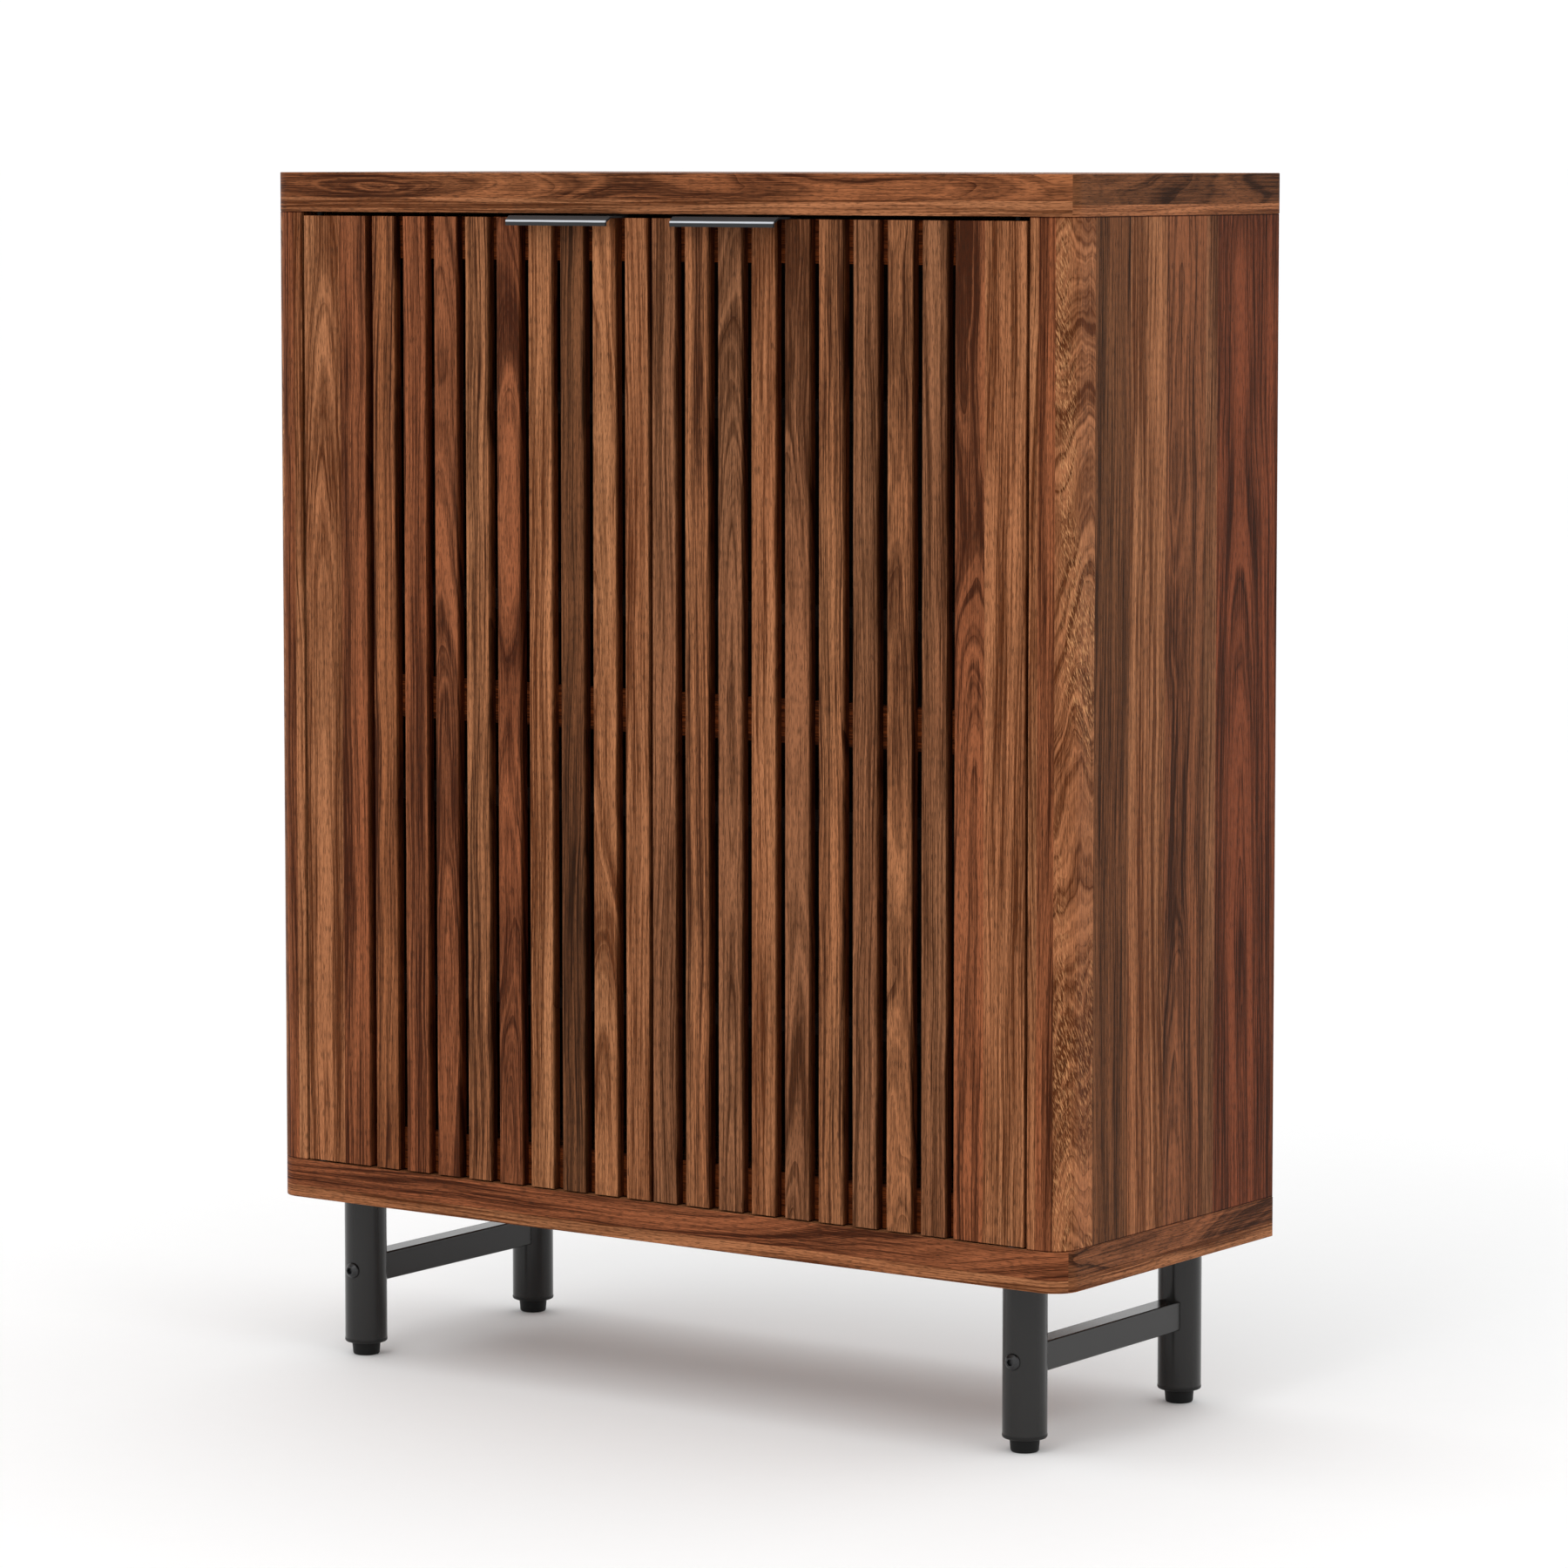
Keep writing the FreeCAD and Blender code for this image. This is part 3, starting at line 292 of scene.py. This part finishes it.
def walnut_group(settings):
    """The grain of solid walnut as a node group, shared by every wooden piece.

    Place is (across, depth, along) the grain in metres. Heart is how far across the tree's heart lies, so a
    strip with its heart inside shows arches and one with it far away shows straight lines.
    """
    group = bpy.data.node_groups.new("walnut_grain", "ShaderNodeTree")
    face = group.interface
    face.new_socket("Place", in_out="INPUT", socket_type="NodeSocketVector")
    for name in ("Light", "Dark"):
        face.new_socket(name, in_out="INPUT", socket_type="NodeSocketColor")
    for name in ("Heart", "Curl", "Seed"):
        face.new_socket(name, in_out="INPUT", socket_type="NodeSocketFloat")
    face.new_socket("Color", in_out="OUTPUT", socket_type="NodeSocketColor")
    face.new_socket("Roughness", in_out="OUTPUT", socket_type="NodeSocketFloat")
    face.new_socket("Height", in_out="OUTPUT", socket_type="NodeSocketFloat")

    g = Graph(group)
    given = g.node("NodeGroupInput").outputs
    seed = given["Seed"]
    shift = g.combine(*(g.math("MULTIPLY", seed, step) for step in SEED_STEPS))
    place = g.vector("ADD", given["Place"], shift)
    across, depth, along = g.split(given["Place"])

    # The trunk wanders slowly, and curly wood also climbs towards the face and waves.
    slow = g.split(g.grain(place, SLOW_WANDER, output="Color"))
    quick = g.split(g.grain(place, QUICK_WANDER, output="Color"))
    curl = given["Curl"]
    aside = g.math("SUBTRACT", across, given["Heart"])
    aside = g.sway(slow[0], 0.034, aside)
    aside = g.sway(quick[0], g.math("MULTIPLY_ADD", curl, 0.014, 0.004), aside)
    below = g.math("MULTIPLY", along, g.math("MULTIPLY_ADD", curl, 0.22, 0.014))
    below = g.math("MULTIPLY_ADD", depth, 0.7, below)
    below = g.sway(slow[1], 0.060, below)
    below = g.sway(quick[1], g.math("MULTIPLY_ADD", curl, 0.016, 0.006), below)
    ring = g.length(g.combine(aside, below))

    # Broad streaks and fine lines of colour follow the rings, and each ring ends in a thin dark line.
    streak = g.noise(g.combine(g.math("MULTIPLY", ring, settings.streak_count), seed,
                               g.math("MULTIPLY", along, 1.6)), detail=3.0, roughness=0.6)
    line = g.noise(g.combine(g.math("MULTIPLY", ring, settings.line_count), seed,
                             g.math("MULTIPLY", along, 5.0)), roughness=0.6)
    phase = g.math("FRACT", g.math("DIVIDE", ring, settings.ring_spacing))
    late = g.math("POWER", phase, 7.0)
    patch = g.grain(place, PATCHES, detail=3.0)

    # Curly wood has short bright slanted flecks in patches, where its fibres break the surface.
    slant = g.vector("ADD", place, g.combine(g.math("MULTIPLY", along, 0.5), 0.0, 0.0))
    fleck = g.grain(slant, FLECKS, roughness=0.6)
    rough = g.math("MULTIPLY", g.span(patch, 0.50, 0.62), g.math("POWER", curl, 2.0))
    fleck = g.math("MULTIPLY", g.span(fleck, 0.50, 0.62), rough)

    # Fibres are hair lines along the grain, and pores are short dark strokes.
    fibre = g.grain(place, FIBRES, roughness=0.7)
    pore = g.span(g.grain(place, PORES, detail=1.0), 0.54, 0.61)

    value = g.sway(streak, 2.9, 0.51)
    value = g.sway(line, 2.3, value)
    value = g.sway(patch, 0.8, value)
    value = g.math("MULTIPLY_ADD", g.math("MULTIPLY", late, g.span(patch, 0.35, 0.55)), -0.45, value)
    value = g.sway(fibre, 2.3, value)
    value = g.math("MULTIPLY_ADD", rough, -0.20, value, clamp=True)
    colour = g.mix(value, given["Dark"], given["Light"])
    colour = g.mix(g.math("MULTIPLY", fleck, 0.65), colour, FLECK_COLOR)
    warmth = g.span(g.grain(place, WARM_PATCHES), 0.35, 0.65)
    colour = g.mix(1.0, colour, g.mix(warmth, COOL_TINT, WARM_TINT), "MULTIPLY")
    colour = g.mix(g.math("MULTIPLY", pore, settings.pore_depth), colour, PORE_COLOR)

    out = g.node("NodeGroupOutput")
    g.feed(out.inputs["Color"], colour)
    g.feed(out.inputs["Roughness"], g.math("MULTIPLY_ADD", fibre, 0.16, settings.roughness - 0.08))
    height = g.math("MULTIPLY_ADD", pore, -0.7, g.math("MULTIPLY", fibre, 0.5))
    g.feed(out.inputs["Height"], g.math("ADD", height, 0.6))
    return group


def walnut_grain():
    """The shared walnut group, made once."""
    made = bpy.data.node_groups.get("walnut_grain")
    return made or walnut_group(bpy.context.scene.cabinet_walnut)


def plank_ramp(graph, share, planks, colours):
    """A stepped colour across a board, one step for each plank."""
    stops = [(plank.start, colour) for plank, colour in zip(planks, colours)]
    return graph.ramp(share, stops, "CONSTANT")


def walnut(name, layout, planks, seed, width=1.0, recess=None, joints=None):
    """A walnut material. layout(graph) gives (across, depth, along) the grain.

    Width is the board's, and matters only when the board has several planks. Recess is how deep the painted
    shade goes to reach its darkest on a piece with open gaps beside it. Joints are the two places along the
    grain where the board meets another, where a painted line of shade darkens the eased edge.

    Heart, curl and a number for each plank travel in one stepped colour, which holds only 0 to 1. So a heart
    is stored as a share of the way from -1 to 1 metre, and a number as sixteenths.
    """
    graph, shader, material = new_material(name)
    across, depth, along = layout(graph)
    if len(planks) == 1:
        plank = planks[0]
        light, dark = TONES[plank.tone]
        heart, curl, number = plank.heart, plank.curl, float(seed)
    else:
        share = graph.math("DIVIDE", across, width)
        light = plank_ramp(graph, share, planks, [TONES[plank.tone][0] for plank in planks])
        dark = plank_ramp(graph, share, planks, [TONES[plank.tone][1] for plank in planks])
        codes = [(plank.heart / 2 + 0.5, plank.curl, i / 16, 1.0) for i, plank in enumerate(planks)]
        code = graph.split_colour(plank_ramp(graph, share, planks, codes))
        heart = graph.math("MULTIPLY_ADD", code[0], 2.0, -1.0)
        curl = code[1]
        number = graph.math("MULTIPLY_ADD", code[2], 16.0, float(seed))
    wood = graph.node("ShaderNodeGroup", node_tree=walnut_grain())
    inputs = {"Place": graph.combine(across, depth, along), "Light": light, "Dark": dark, "Heart": heart,
              "Curl": curl, "Seed": number}
    for key, value in inputs.items():
        graph.feed(wood.inputs[key], value)
    colour = wood.outputs["Color"]
    # Painted shade: darker with depth behind the front face, where shade falls between the slats.
    if recess:
        stain = graph.math("ADD", graph.span(depth, SHADE_STARTS, SHADE_SHOWS, 0.0, SHADE_SHARE),
                           graph.span(depth, SHADE_SHOWS, recess, 0.0, 1.0 - SHADE_SHARE))
        colour = graph.mix(stain, colour, graph.mix(1.0, colour, PAINTED_SHADE, "MULTIPLY"))
    # Painted shade: a dark line in the eased groove at each end of the board, where shade falls in the joint.
    if joints:
        middle, half = (joints[0] + joints[1]) / 2, (joints[1] - joints[0]) / 2
        reach = graph.math("ABSOLUTE", graph.math("SUBTRACT", along, middle))
        joint_shade = graph.span(reach, half - JOINT_SHADE_INNER, half - JOINT_SHADE_OUTER)
        colour = graph.mix(joint_shade, colour, graph.mix(1.0, colour, PAINTED_SHADE, "MULTIPLY"))
    graph.feed(shader.inputs["Base Color"], colour)
    graph.feed(shader.inputs["Roughness"], wood.outputs["Roughness"])
    shader.inputs["Specular IOR Level"].default_value = WOOD_SHINE
    raise_surface(graph, shader, wood.outputs["Height"], GRAIN_DEPTH)
    return material


def upright_layout(origin):
    """Grain that runs up Z on a piece that faces the front."""
    def layout(graph):
        x, y, z = graph.split(graph.vector("SUBTRACT", graph.place(), tuple(origin)))
        return x, y, z
    return layout


def side_layout(inner_x, front_y, side):
    """Grain that runs up Z on a side panel, with its width measured round the panel's front corner."""
    def layout(graph):
        x, y, z = graph.split(graph.place())
        outward = graph.math("MULTIPLY_ADD", x, float(side), -inner_x)
        return graph.math("ADD", outward, graph.math("SUBTRACT", y, front_y)), 0.0, z
    return layout


def rail_layout(origin):
    """Grain that runs along X on a rail."""
    def layout(graph):
        x, y, z = graph.split(graph.vector("SUBTRACT", graph.place(), tuple(origin)))
        return z, y, x
    return layout


def band_layout(low):
    """Grain that runs along a top or bottom panel.

    The ends and the faces have strips of their own, further across the tree than the front edge's.
    """
    def layout(graph):
        coordinates = graph.node("ShaderNodeTexCoord").outputs
        x, y, z = graph.split(graph.vector("SUBTRACT", coordinates["Object"], tuple(low)))
        lean = graph.split(coordinates["Normal"])
        end = graph.math("GREATER_THAN", graph.math("ABSOLUTE", lean[0]), END_TURN)
        flat = graph.math("GREATER_THAN", graph.math("ABSOLUTE", lean[2]), FACE_TURN)
        side = graph.math("SUBTRACT", 1.0, flat)
        along = graph.math("ADD", graph.math("MULTIPLY", end, graph.math("ADD", y, ENDS_ALONG)),
                           graph.math("MULTIPLY", graph.math("SUBTRACT", 1.0, end), x))
        edge = graph.math("MULTIPLY", side, graph.math("MULTIPLY_ADD", end, ENDS_FROM, z))
        across = graph.math("MULTIPLY_ADD", flat, graph.math("ADD", y, FACES_FROM), edge)
        return across, 0.0, along
    return layout


# ---------------------------------------------------------------- other finishes

def powder_coat(name, settings):
    """Dark satin powder coat with the fine orange peel of a sprayed finish."""
    graph, shader, material = new_material(name)
    place = graph.place()
    peel = graph.noise(place, scale=900.0)
    cloud = graph.noise(place, scale=30.0)
    colour = graph.mix(cloud, tint(settings.coat_color, 0.92), tint(settings.coat_color, 1.08))
    graph.feed(shader.inputs["Base Color"], colour)
    graph.feed(shader.inputs["Roughness"], graph.math("MULTIPLY_ADD", cloud, 0.06, settings.coat_roughness))
    shader.inputs["Specular IOR Level"].default_value = COAT_SHINE
    raise_surface(graph, shader, peel, PEEL_DEPTH)
    return material


def anodised(name, settings, front, top):
    """Dark anodised metal with fine lines brushed along it, and a painted highlight along its front arris.

    Front and top are the pull's own front and top in metres, from which the arris lies at a fixed drop.
    """
    graph, shader, material = new_material(name)
    _, y, z = graph.split(graph.place())
    back, drop = graph.math("SUBTRACT", y, front), graph.math("SUBTRACT", z, top - settings.arris_drop)
    away = graph.length(graph.combine(back, drop))
    lines = graph.grain(graph.place(), (40.0, 3200.0, 3200.0))
    colour = graph.mix(lines, tint(settings.pull_color, 0.88), tint(settings.pull_color, 1.12))
    # Painted highlight: a bright band along the arris, strongest nearest it and frayed by the brushing.
    arris_highlight = graph.span(graph.math("MULTIPLY_ADD", lines, ARRIS_HIGHLIGHT_FRAY, away), *ARRIS_HIGHLIGHT_BAND)
    colour = graph.mix(arris_highlight, colour, ARRIS_HIGHLIGHT_COLOR)
    graph.feed(shader.inputs["Base Color"], colour)
    shader.inputs["Metallic"].default_value = PULL_METAL
    shader.inputs["Specular IOR Level"].default_value = PULL_SHINE
    graph.feed(shader.inputs["Roughness"], graph.math("MULTIPLY_ADD", lines, 0.10, 0.30))
    raise_surface(graph, shader, lines, TURNED_DEPTH)
    return material


def bare_steel(name, level, roughness):
    """Plated or ground steel with faint turning marks. Level is how bright its bare metal is, from 0 to 1."""
    graph, shader, material = new_material(name)
    marks = graph.grain(graph.place(), (300.0, 300.0, 5200.0))
    dull, bright = (level * 0.9, level * 0.9, level * 0.92, 1.0), (level, level, level * 1.02, 1.0)
    graph.feed(shader.inputs["Base Color"], graph.mix(marks, dull, bright))
    shader.inputs["Metallic"].default_value = 1.0
    graph.feed(shader.inputs["Roughness"], graph.math("MULTIPLY_ADD", marks, 0.12, roughness))
    raise_surface(graph, shader, marks, TURNED_DEPTH)
    return material


def moulded(name, colour, roughness, pit_depth):
    """Moulded plastic with a fine spark-eroded grain."""
    graph, shader, material = new_material(name)
    place = graph.place()
    pits = graph.noise(place, scale=1600.0, detail=3.0, roughness=0.7)
    cloud = graph.noise(place, scale=60.0)
    graph.feed(shader.inputs["Base Color"], graph.mix(cloud, tint(colour, 0.85), colour))
    graph.feed(shader.inputs["Roughness"], graph.math("MULTIPLY_ADD", pits, 0.15, roughness - 0.07))
    shader.inputs["Specular IOR Level"].default_value = PLASTIC_SHINE
    raise_surface(graph, shader, pits, pit_depth)
    return material


def dark_interior_board(name, light, dark, stretch):
    """Veneered board in near-black colours that paint the shade inside the cabinet. Stretch is how often the
    grain changes in a metre along X, Y, Z.
    """
    graph, shader, material = new_material(name)
    place = graph.place()
    flow = graph.vector("MULTIPLY", place, stretch)
    bend = graph.grain(place, (2.0, 2.0, 2.0), detail=1.0)
    bands = graph.noise(graph.vector("ADD", graph.vector("MULTIPLY", flow, (0.14, 0.14, 0.14)),
                                     graph.combine(bend, bend, bend)), detail=4.0, roughness=0.65)
    lines = graph.noise(flow, detail=3.0, roughness=0.7)
    hairs = graph.grain(flow, (5.0, 5.0, 5.0))
    value = graph.sway(bands, 2.6, 0.48)
    value = graph.sway(lines, 1.6, value)
    value = graph.sway(hairs, 1.0, value, clamp=True)
    graph.feed(shader.inputs["Base Color"], graph.mix(value, dark, light))
    graph.feed(shader.inputs["Roughness"], graph.math("MULTIPLY_ADD", lines, 0.15, 0.46))
    shader.inputs["Specular IOR Level"].default_value = INTERIOR_SHINE
    raise_surface(graph, shader, hairs, INTERIOR_DEPTH)
    return material


# ---------------------------------------------------------------- settings

class WalnutSettings(bpy.types.PropertyGroup):
    """How the walnut looks."""
    ring_spacing: FloatProperty(name="Ring spacing", description="Width of one growth ring", default=0.0050,
                                min=0.001, max=0.02, unit="LENGTH")
    streak_count: FloatProperty(name="Streaks", description="Colour streaks in one metre across the rings",
                                default=100.0, min=10.0, max=400.0)
    line_count: FloatProperty(name="Lines", description="Fine lines in one metre across the rings",
                              default=480.0, min=50.0, max=2000.0)
    pore_depth: FloatProperty(name="Pores", description="How dark the pores are", default=0.55,
                              min=0.0, max=1.0, subtype="FACTOR")
    roughness: FloatProperty(name="Roughness", description="Roughness of the satin lacquer", default=0.44,
                             min=0.1, max=1.0, subtype="FACTOR")


class MetalSettings(bpy.types.PropertyGroup):
    """How the leg frame and the pulls look."""
    coat_color: FloatVectorProperty(name="Powder coat", description="Colour of the leg frame", size=3,
                                    default=srgb(29, 28, 27)[:3], min=0.0, max=1.0, subtype="COLOR")
    coat_roughness: FloatProperty(name="Coat roughness", description="Roughness of the powder coat",
                                  default=0.17, min=0.05, max=1.0, subtype="FACTOR")
    pull_color: FloatVectorProperty(name="Pull", description="Colour of the anodised pulls", size=3,
                                    default=srgb(35, 36, 38)[:3], min=0.0, max=1.0, subtype="COLOR")
    arris_drop: FloatProperty(name="Arris", description="How far the pull's front arris lies below its top",
                              default=0.004, min=0.0, max=0.02, unit="LENGTH")


class StageSettings(bpy.types.PropertyGroup):
    """The camera, the light and the floor."""
    lens: FloatProperty(name="Lens", description="Focal length of the camera in millimetres", default=137.58,
                        min=10.0, max=500.0)
    turn: FloatProperty(name="Turn", description="How far the camera looks in from the right of the front",
                        default=math.radians(35.325), subtype="ANGLE")
    dip: FloatProperty(name="Dip", description="How far the camera looks down",
                       default=math.radians(4.822), subtype="ANGLE")
    rise: FloatProperty(name="Vertical shift", description="Vertical shift of the lens, a share of the frame",
                        default=-0.08, min=-0.2, max=0.2)
    stand: FloatVectorProperty(name="Camera", description="Where the camera stands, from the frame's origin",
                               size=3, default=(2.895, -4.0486, 1.0281), subtype="TRANSLATION",
                               unit="LENGTH")
    sky: FloatProperty(name="Sky light", description="Strength of the even white light from all round",
                       default=1.05, min=0.0, max=5.0)
    floor_color: FloatVectorProperty(name="Floor", description="Colour of the floor", subtype="COLOR", size=3,
                                     default=(0.97, 0.97, 0.97), min=0.0, max=1.0)


# ---------------------------------------------------------------- operators

def corner(name):
    """Lowest corner of a CAD piece."""
    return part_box(name)[0]


def width_of(name, axis=0):
    low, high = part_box(name)
    return high[axis] - low[axis]


def finish_board(name, layout, planks, seed, **settings):
    """Finish one CAD piece in walnut of its own, with the grain measured from its lowest corner."""
    material = walnut(f"walnut_{name}", layout(corner(name)), planks, seed, **settings)
    finish_nodes([name], material)


class CABINET_OT_panels(bpy.types.Operator):
    """Finish the top, bottom and side panels in walnut strips"""
    bl_idname = "cabinet.panels"
    bl_label = "Carcass panels"

    def execute(self, context):
        self.flat_panels()
        self.side_panels()
        return {"FINISHED"}

    def flat_panels(self):
        reach = FACES_FROM + width_of("top_panel", 1)
        faces = [(FACES_FROM + start, tone, FACES_FROM + heart, curl)
                 for start, tone, heart, curl in FACE_STRIPS]
        for name, edges in EDGE_STRIPS.items():
            planks = [Plank(start / reach, tone, heart, curl) for start, tone, heart, curl in edges + faces]
            finish_board(name, band_layout, planks, SEEDS[name], width=reach)

    def side_panels(self):
        start = corner("right_side_panel")
        girth = width_of("right_side_panel") + width_of("right_side_panel", 1)
        planks = [Plank(edge / girth, tone, heart, curl) for edge, tone, heart, curl in SIDE_STRIPS]
        for side, sign in zip(SIDES, (-1, 1)):
            name = f"{side}_side_panel"
            ends = [end.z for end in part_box(name)]
            finish_nodes([name], walnut(f"walnut_{side}_side", side_layout(start.x, start.y, sign), planks,
                                        SEEDS[name], width=girth, joints=ends))


class CABINET_OT_doors(bpy.types.Operator):
    """Finish the stiles, slats and rails of both doors in walnut"""
    bl_idname = "cabinet.doors"
    bl_label = "Door woodwork"

    def execute(self, context):
        for side in SIDES:
            self.door(side)
        return {"FINISHED"}

    def door(self, side):
        stile = f"{side}_stile"
        finish_board(stile, upright_layout, STILES[side], SEEDS[stile],
                     width=width_of(stile), recess=STILE_RECESS)
        # Slats are numbered from each door's stile inwards, and their hearts are listed from left to right.
        hearts = SLAT_HEARTS if side == "left" else SLAT_HEARTS[::-1]
        for number, (tone, heart) in enumerate(zip(SLATS[side], hearts), start=1):
            planks = [Plank(0.0, tone, heart, SLAT_CURL)]
            seed = SEEDS[f"{side}_slats"] + SEEDS_PER_SLAT * number
            finish_board(f"{side}_slat_{number}", upright_layout, planks, seed, recess=SLAT_RECESS)
        # The rails take the dark tone that paints the shade behind the slats.
        for spot in ("bottom_rail", "middle_rail", "top_rail"):
            finish_board(f"{side}_{spot}", rail_layout, [Plank(0.0, "shade", 0.10, 0.0)], SEEDS[spot])


class CABINET_OT_inside(bpy.types.Operator):
    """Finish the shelves, their supports, the back panel and the dowels"""
    bl_idname = "cabinet.inside"
    bl_label = "Inside"

    def execute(self, context):
        shelves = [name for name in NODES if name.startswith("shelf_") and name != "shelf_supports"]
        # Painted shade: the shelves and the back panel are near black for the shade inside the cabinet.
        finish_nodes(shelves, dark_interior_board("stained_shelf", light=srgb(44, 30, 22), dark=srgb(15, 11, 9),
                                            stretch=(4.0, 220.0, 220.0)))
        finish_nodes(["back_panel"],
                     dark_interior_board("back_painted_shade", light=srgb(54, 38, 28), dark=srgb(17, 12, 10),
                                   stretch=(220.0, 220.0, 4.0)))
        finish_nodes(["shelf_supports"], bare_steel("nickel_plate", level=0.62, roughness=0.22))
        finish_nodes(["carcass_dowels"], walnut("beech_dowel", upright_layout((0.0, 0.0, 0.0)),
                                                [Plank(0.0, "honey", 0.5, 0.0)], SEEDS["dowels"]))
        return {"FINISHED"}


class CABINET_OT_hardware(bpy.types.Operator):
    """Finish the pulls, screws, pivots and catches"""
    bl_idname = "cabinet.hardware"
    bl_label = "Door hardware"

    def execute(self, context):
        settings = context.scene.cabinet_metal
        front, top = corner("left_pull").y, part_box("left_pull")[1].z
        for kind, material in (
                ("pull", anodised("anodised_pull", settings, front, top)),
                ("pull_screws", bare_steel("zinc_screw", level=0.45, roughness=0.30)),
                ("pivot_pins", bare_steel("blackened_pin", level=0.012, roughness=0.5)),
                ("strike_plate", bare_steel("zinc_strike", level=0.55, roughness=0.30))):
            finish_nodes([f"{side}_{kind}" for side in SIDES], material)
        finish_nodes(["pivot_bushes", "pivot_washers"],
                     moulded("black_nylon", srgb(12, 11, 11), roughness=0.65, pit_depth=0.00001))
        finish_nodes(["magnetic_catches"],
                     moulded("catch_brown", srgb(48, 36, 30), roughness=0.45, pit_depth=0.00002))
        return {"FINISHED"}


class CABINET_OT_leg_frame(bpy.types.Operator):
    """Finish the legs, stretchers, bolts, end caps and feet"""
    bl_idname = "cabinet.leg_frame"
    bl_label = "Leg frame"

    def execute(self, context):
        settings = context.scene.cabinet_metal
        corners = [f"{end}_{side}" for end in ("front", "back") for side in SIDES]
        finish_nodes([f"{spot}_leg" for spot in corners] + [f"{side}_stretcher" for side in SIDES],
                     powder_coat("powder_coat", settings))
        finish_nodes(["frame_bolts"], bare_steel("black_bolt", level=0.055, roughness=0.32))
        finish_nodes(["leg_end_caps"],
                     moulded("cap_plastic", srgb(27, 26, 25), roughness=0.42, pit_depth=0.00002))
        finish_nodes([f"{spot}_foot" for spot in corners],
                     moulded("foot_plastic", srgb(10, 10, 10), roughness=0.55, pit_depth=0.00004))
        return {"FINISHED"}


class CABINET_OT_stage(bpy.types.Operator):
    """Add the camera, the lights and the floor"""
    bl_idname = "cabinet.stage"
    bl_label = "Stage"

    def execute(self, context):
        settings = context.scene.cabinet_stage
        context.scene.view_settings.view_transform = "Standard"
        self.camera(context, settings)
        self.sky(context, settings)
        self.lamps(context)
        self.floor(context, settings)
        return {"FINISHED"}

    def camera(self, context, settings):
        data = bpy.data.cameras.new("camera")
        data.lens = settings.lens
        data.shift_y = settings.rise
        data.clip_end = SEEN_REACH
        camera = bpy.data.objects.new("camera", data)
        camera.location = settings.stand
        camera.rotation_euler = Euler((math.radians(90) - settings.dip, 0.0, settings.turn))
        context.scene.collection.objects.link(camera)
        context.scene.camera = camera

    def sky(self, context, settings):
        world = bpy.data.worlds.new("studio")
        context.scene.world = world
        world.use_nodes = True
        background = world.node_tree.nodes["Background"]
        background.inputs["Color"].default_value = (1.0, 1.0, 1.0, 1.0)
        background.inputs["Strength"].default_value = settings.sky

    def lamps(self, context):
        middle = (CAD_LOW + CAD_HIGH) / 2
        for name, spot, size, power in LAMPS:
            data = bpy.data.lights.new(name, "AREA")
            data.size = size
            data.energy = power
            lamp = bpy.data.objects.new(name, data)
            lamp.location = spot
            lamp.rotation_euler = (middle - spot).to_track_quat("-Z", "Y").to_euler()
            context.scene.collection.objects.link(lamp)

    def floor(self, context, settings):
        mesh = bpy.data.meshes.new("floor")
        corners = ((-1, -1), (1, -1), (1, 1), (-1, 1))
        mesh.from_pydata([(x * FLOOR_REACH, y * FLOOR_REACH, 0.0) for x, y in corners], [], [(0, 1, 2, 3)])
        floor = bpy.data.objects.new("floor", mesh)
        context.scene.collection.objects.link(floor)
        graph, shader, material = new_material("floor_paint")
        speck = graph.noise(graph.place(), scale=40.0, detail=3.0)
        paint = graph.mix(speck, tint(settings.floor_color, 0.985), tint(settings.floor_color, 1.0))
        graph.feed(shader.inputs["Base Color"], paint)
        shader.inputs["Roughness"].default_value = 0.8
        mesh.materials.append(material)


class CABINET_PT_finish(bpy.types.Panel):
    """The cabinet's pieces and their settings"""
    bl_label = "Shoe cabinet"
    bl_idname = "CABINET_PT_finish"
    bl_space_type = "VIEW_3D"
    bl_region_type = "UI"
    bl_category = "Shoe cabinet"

    def draw(self, context):
        for group in SETTINGS:
            settings = getattr(context.scene, group)
            box = self.layout.box()
            for name in settings.__annotations__:
                box.prop(settings, name)
        for operator in OPERATORS:
            self.layout.operator(operator.bl_idname)


OPERATORS = (CABINET_OT_stage, CABINET_OT_panels, CABINET_OT_doors, CABINET_OT_inside, CABINET_OT_hardware,
             CABINET_OT_leg_frame)
SETTINGS = {"cabinet_walnut": WalnutSettings, "cabinet_metal": MetalSettings, "cabinet_stage": StageSettings}


def register():
    for cls in (*SETTINGS.values(), *OPERATORS, CABINET_PT_finish):
        bpy.utils.register_class(cls)
    for name, cls in SETTINGS.items():
        setattr(bpy.types.Scene, name, PointerProperty(type=cls))


def unregister():
    for name in SETTINGS:
        delattr(bpy.types.Scene, name)
    for cls in reversed((*SETTINGS.values(), *OPERATORS, CABINET_PT_finish)):
        bpy.utils.unregister_class(cls)


def main():
    register()
    bpy.ops.cabinet.stage()
    bpy.ops.cabinet.panels()
    bpy.ops.cabinet.doors()
    bpy.ops.cabinet.inside()
    bpy.ops.cabinet.hardware()
    bpy.ops.cabinet.leg_frame()


if __name__ == "__main__":
    main()
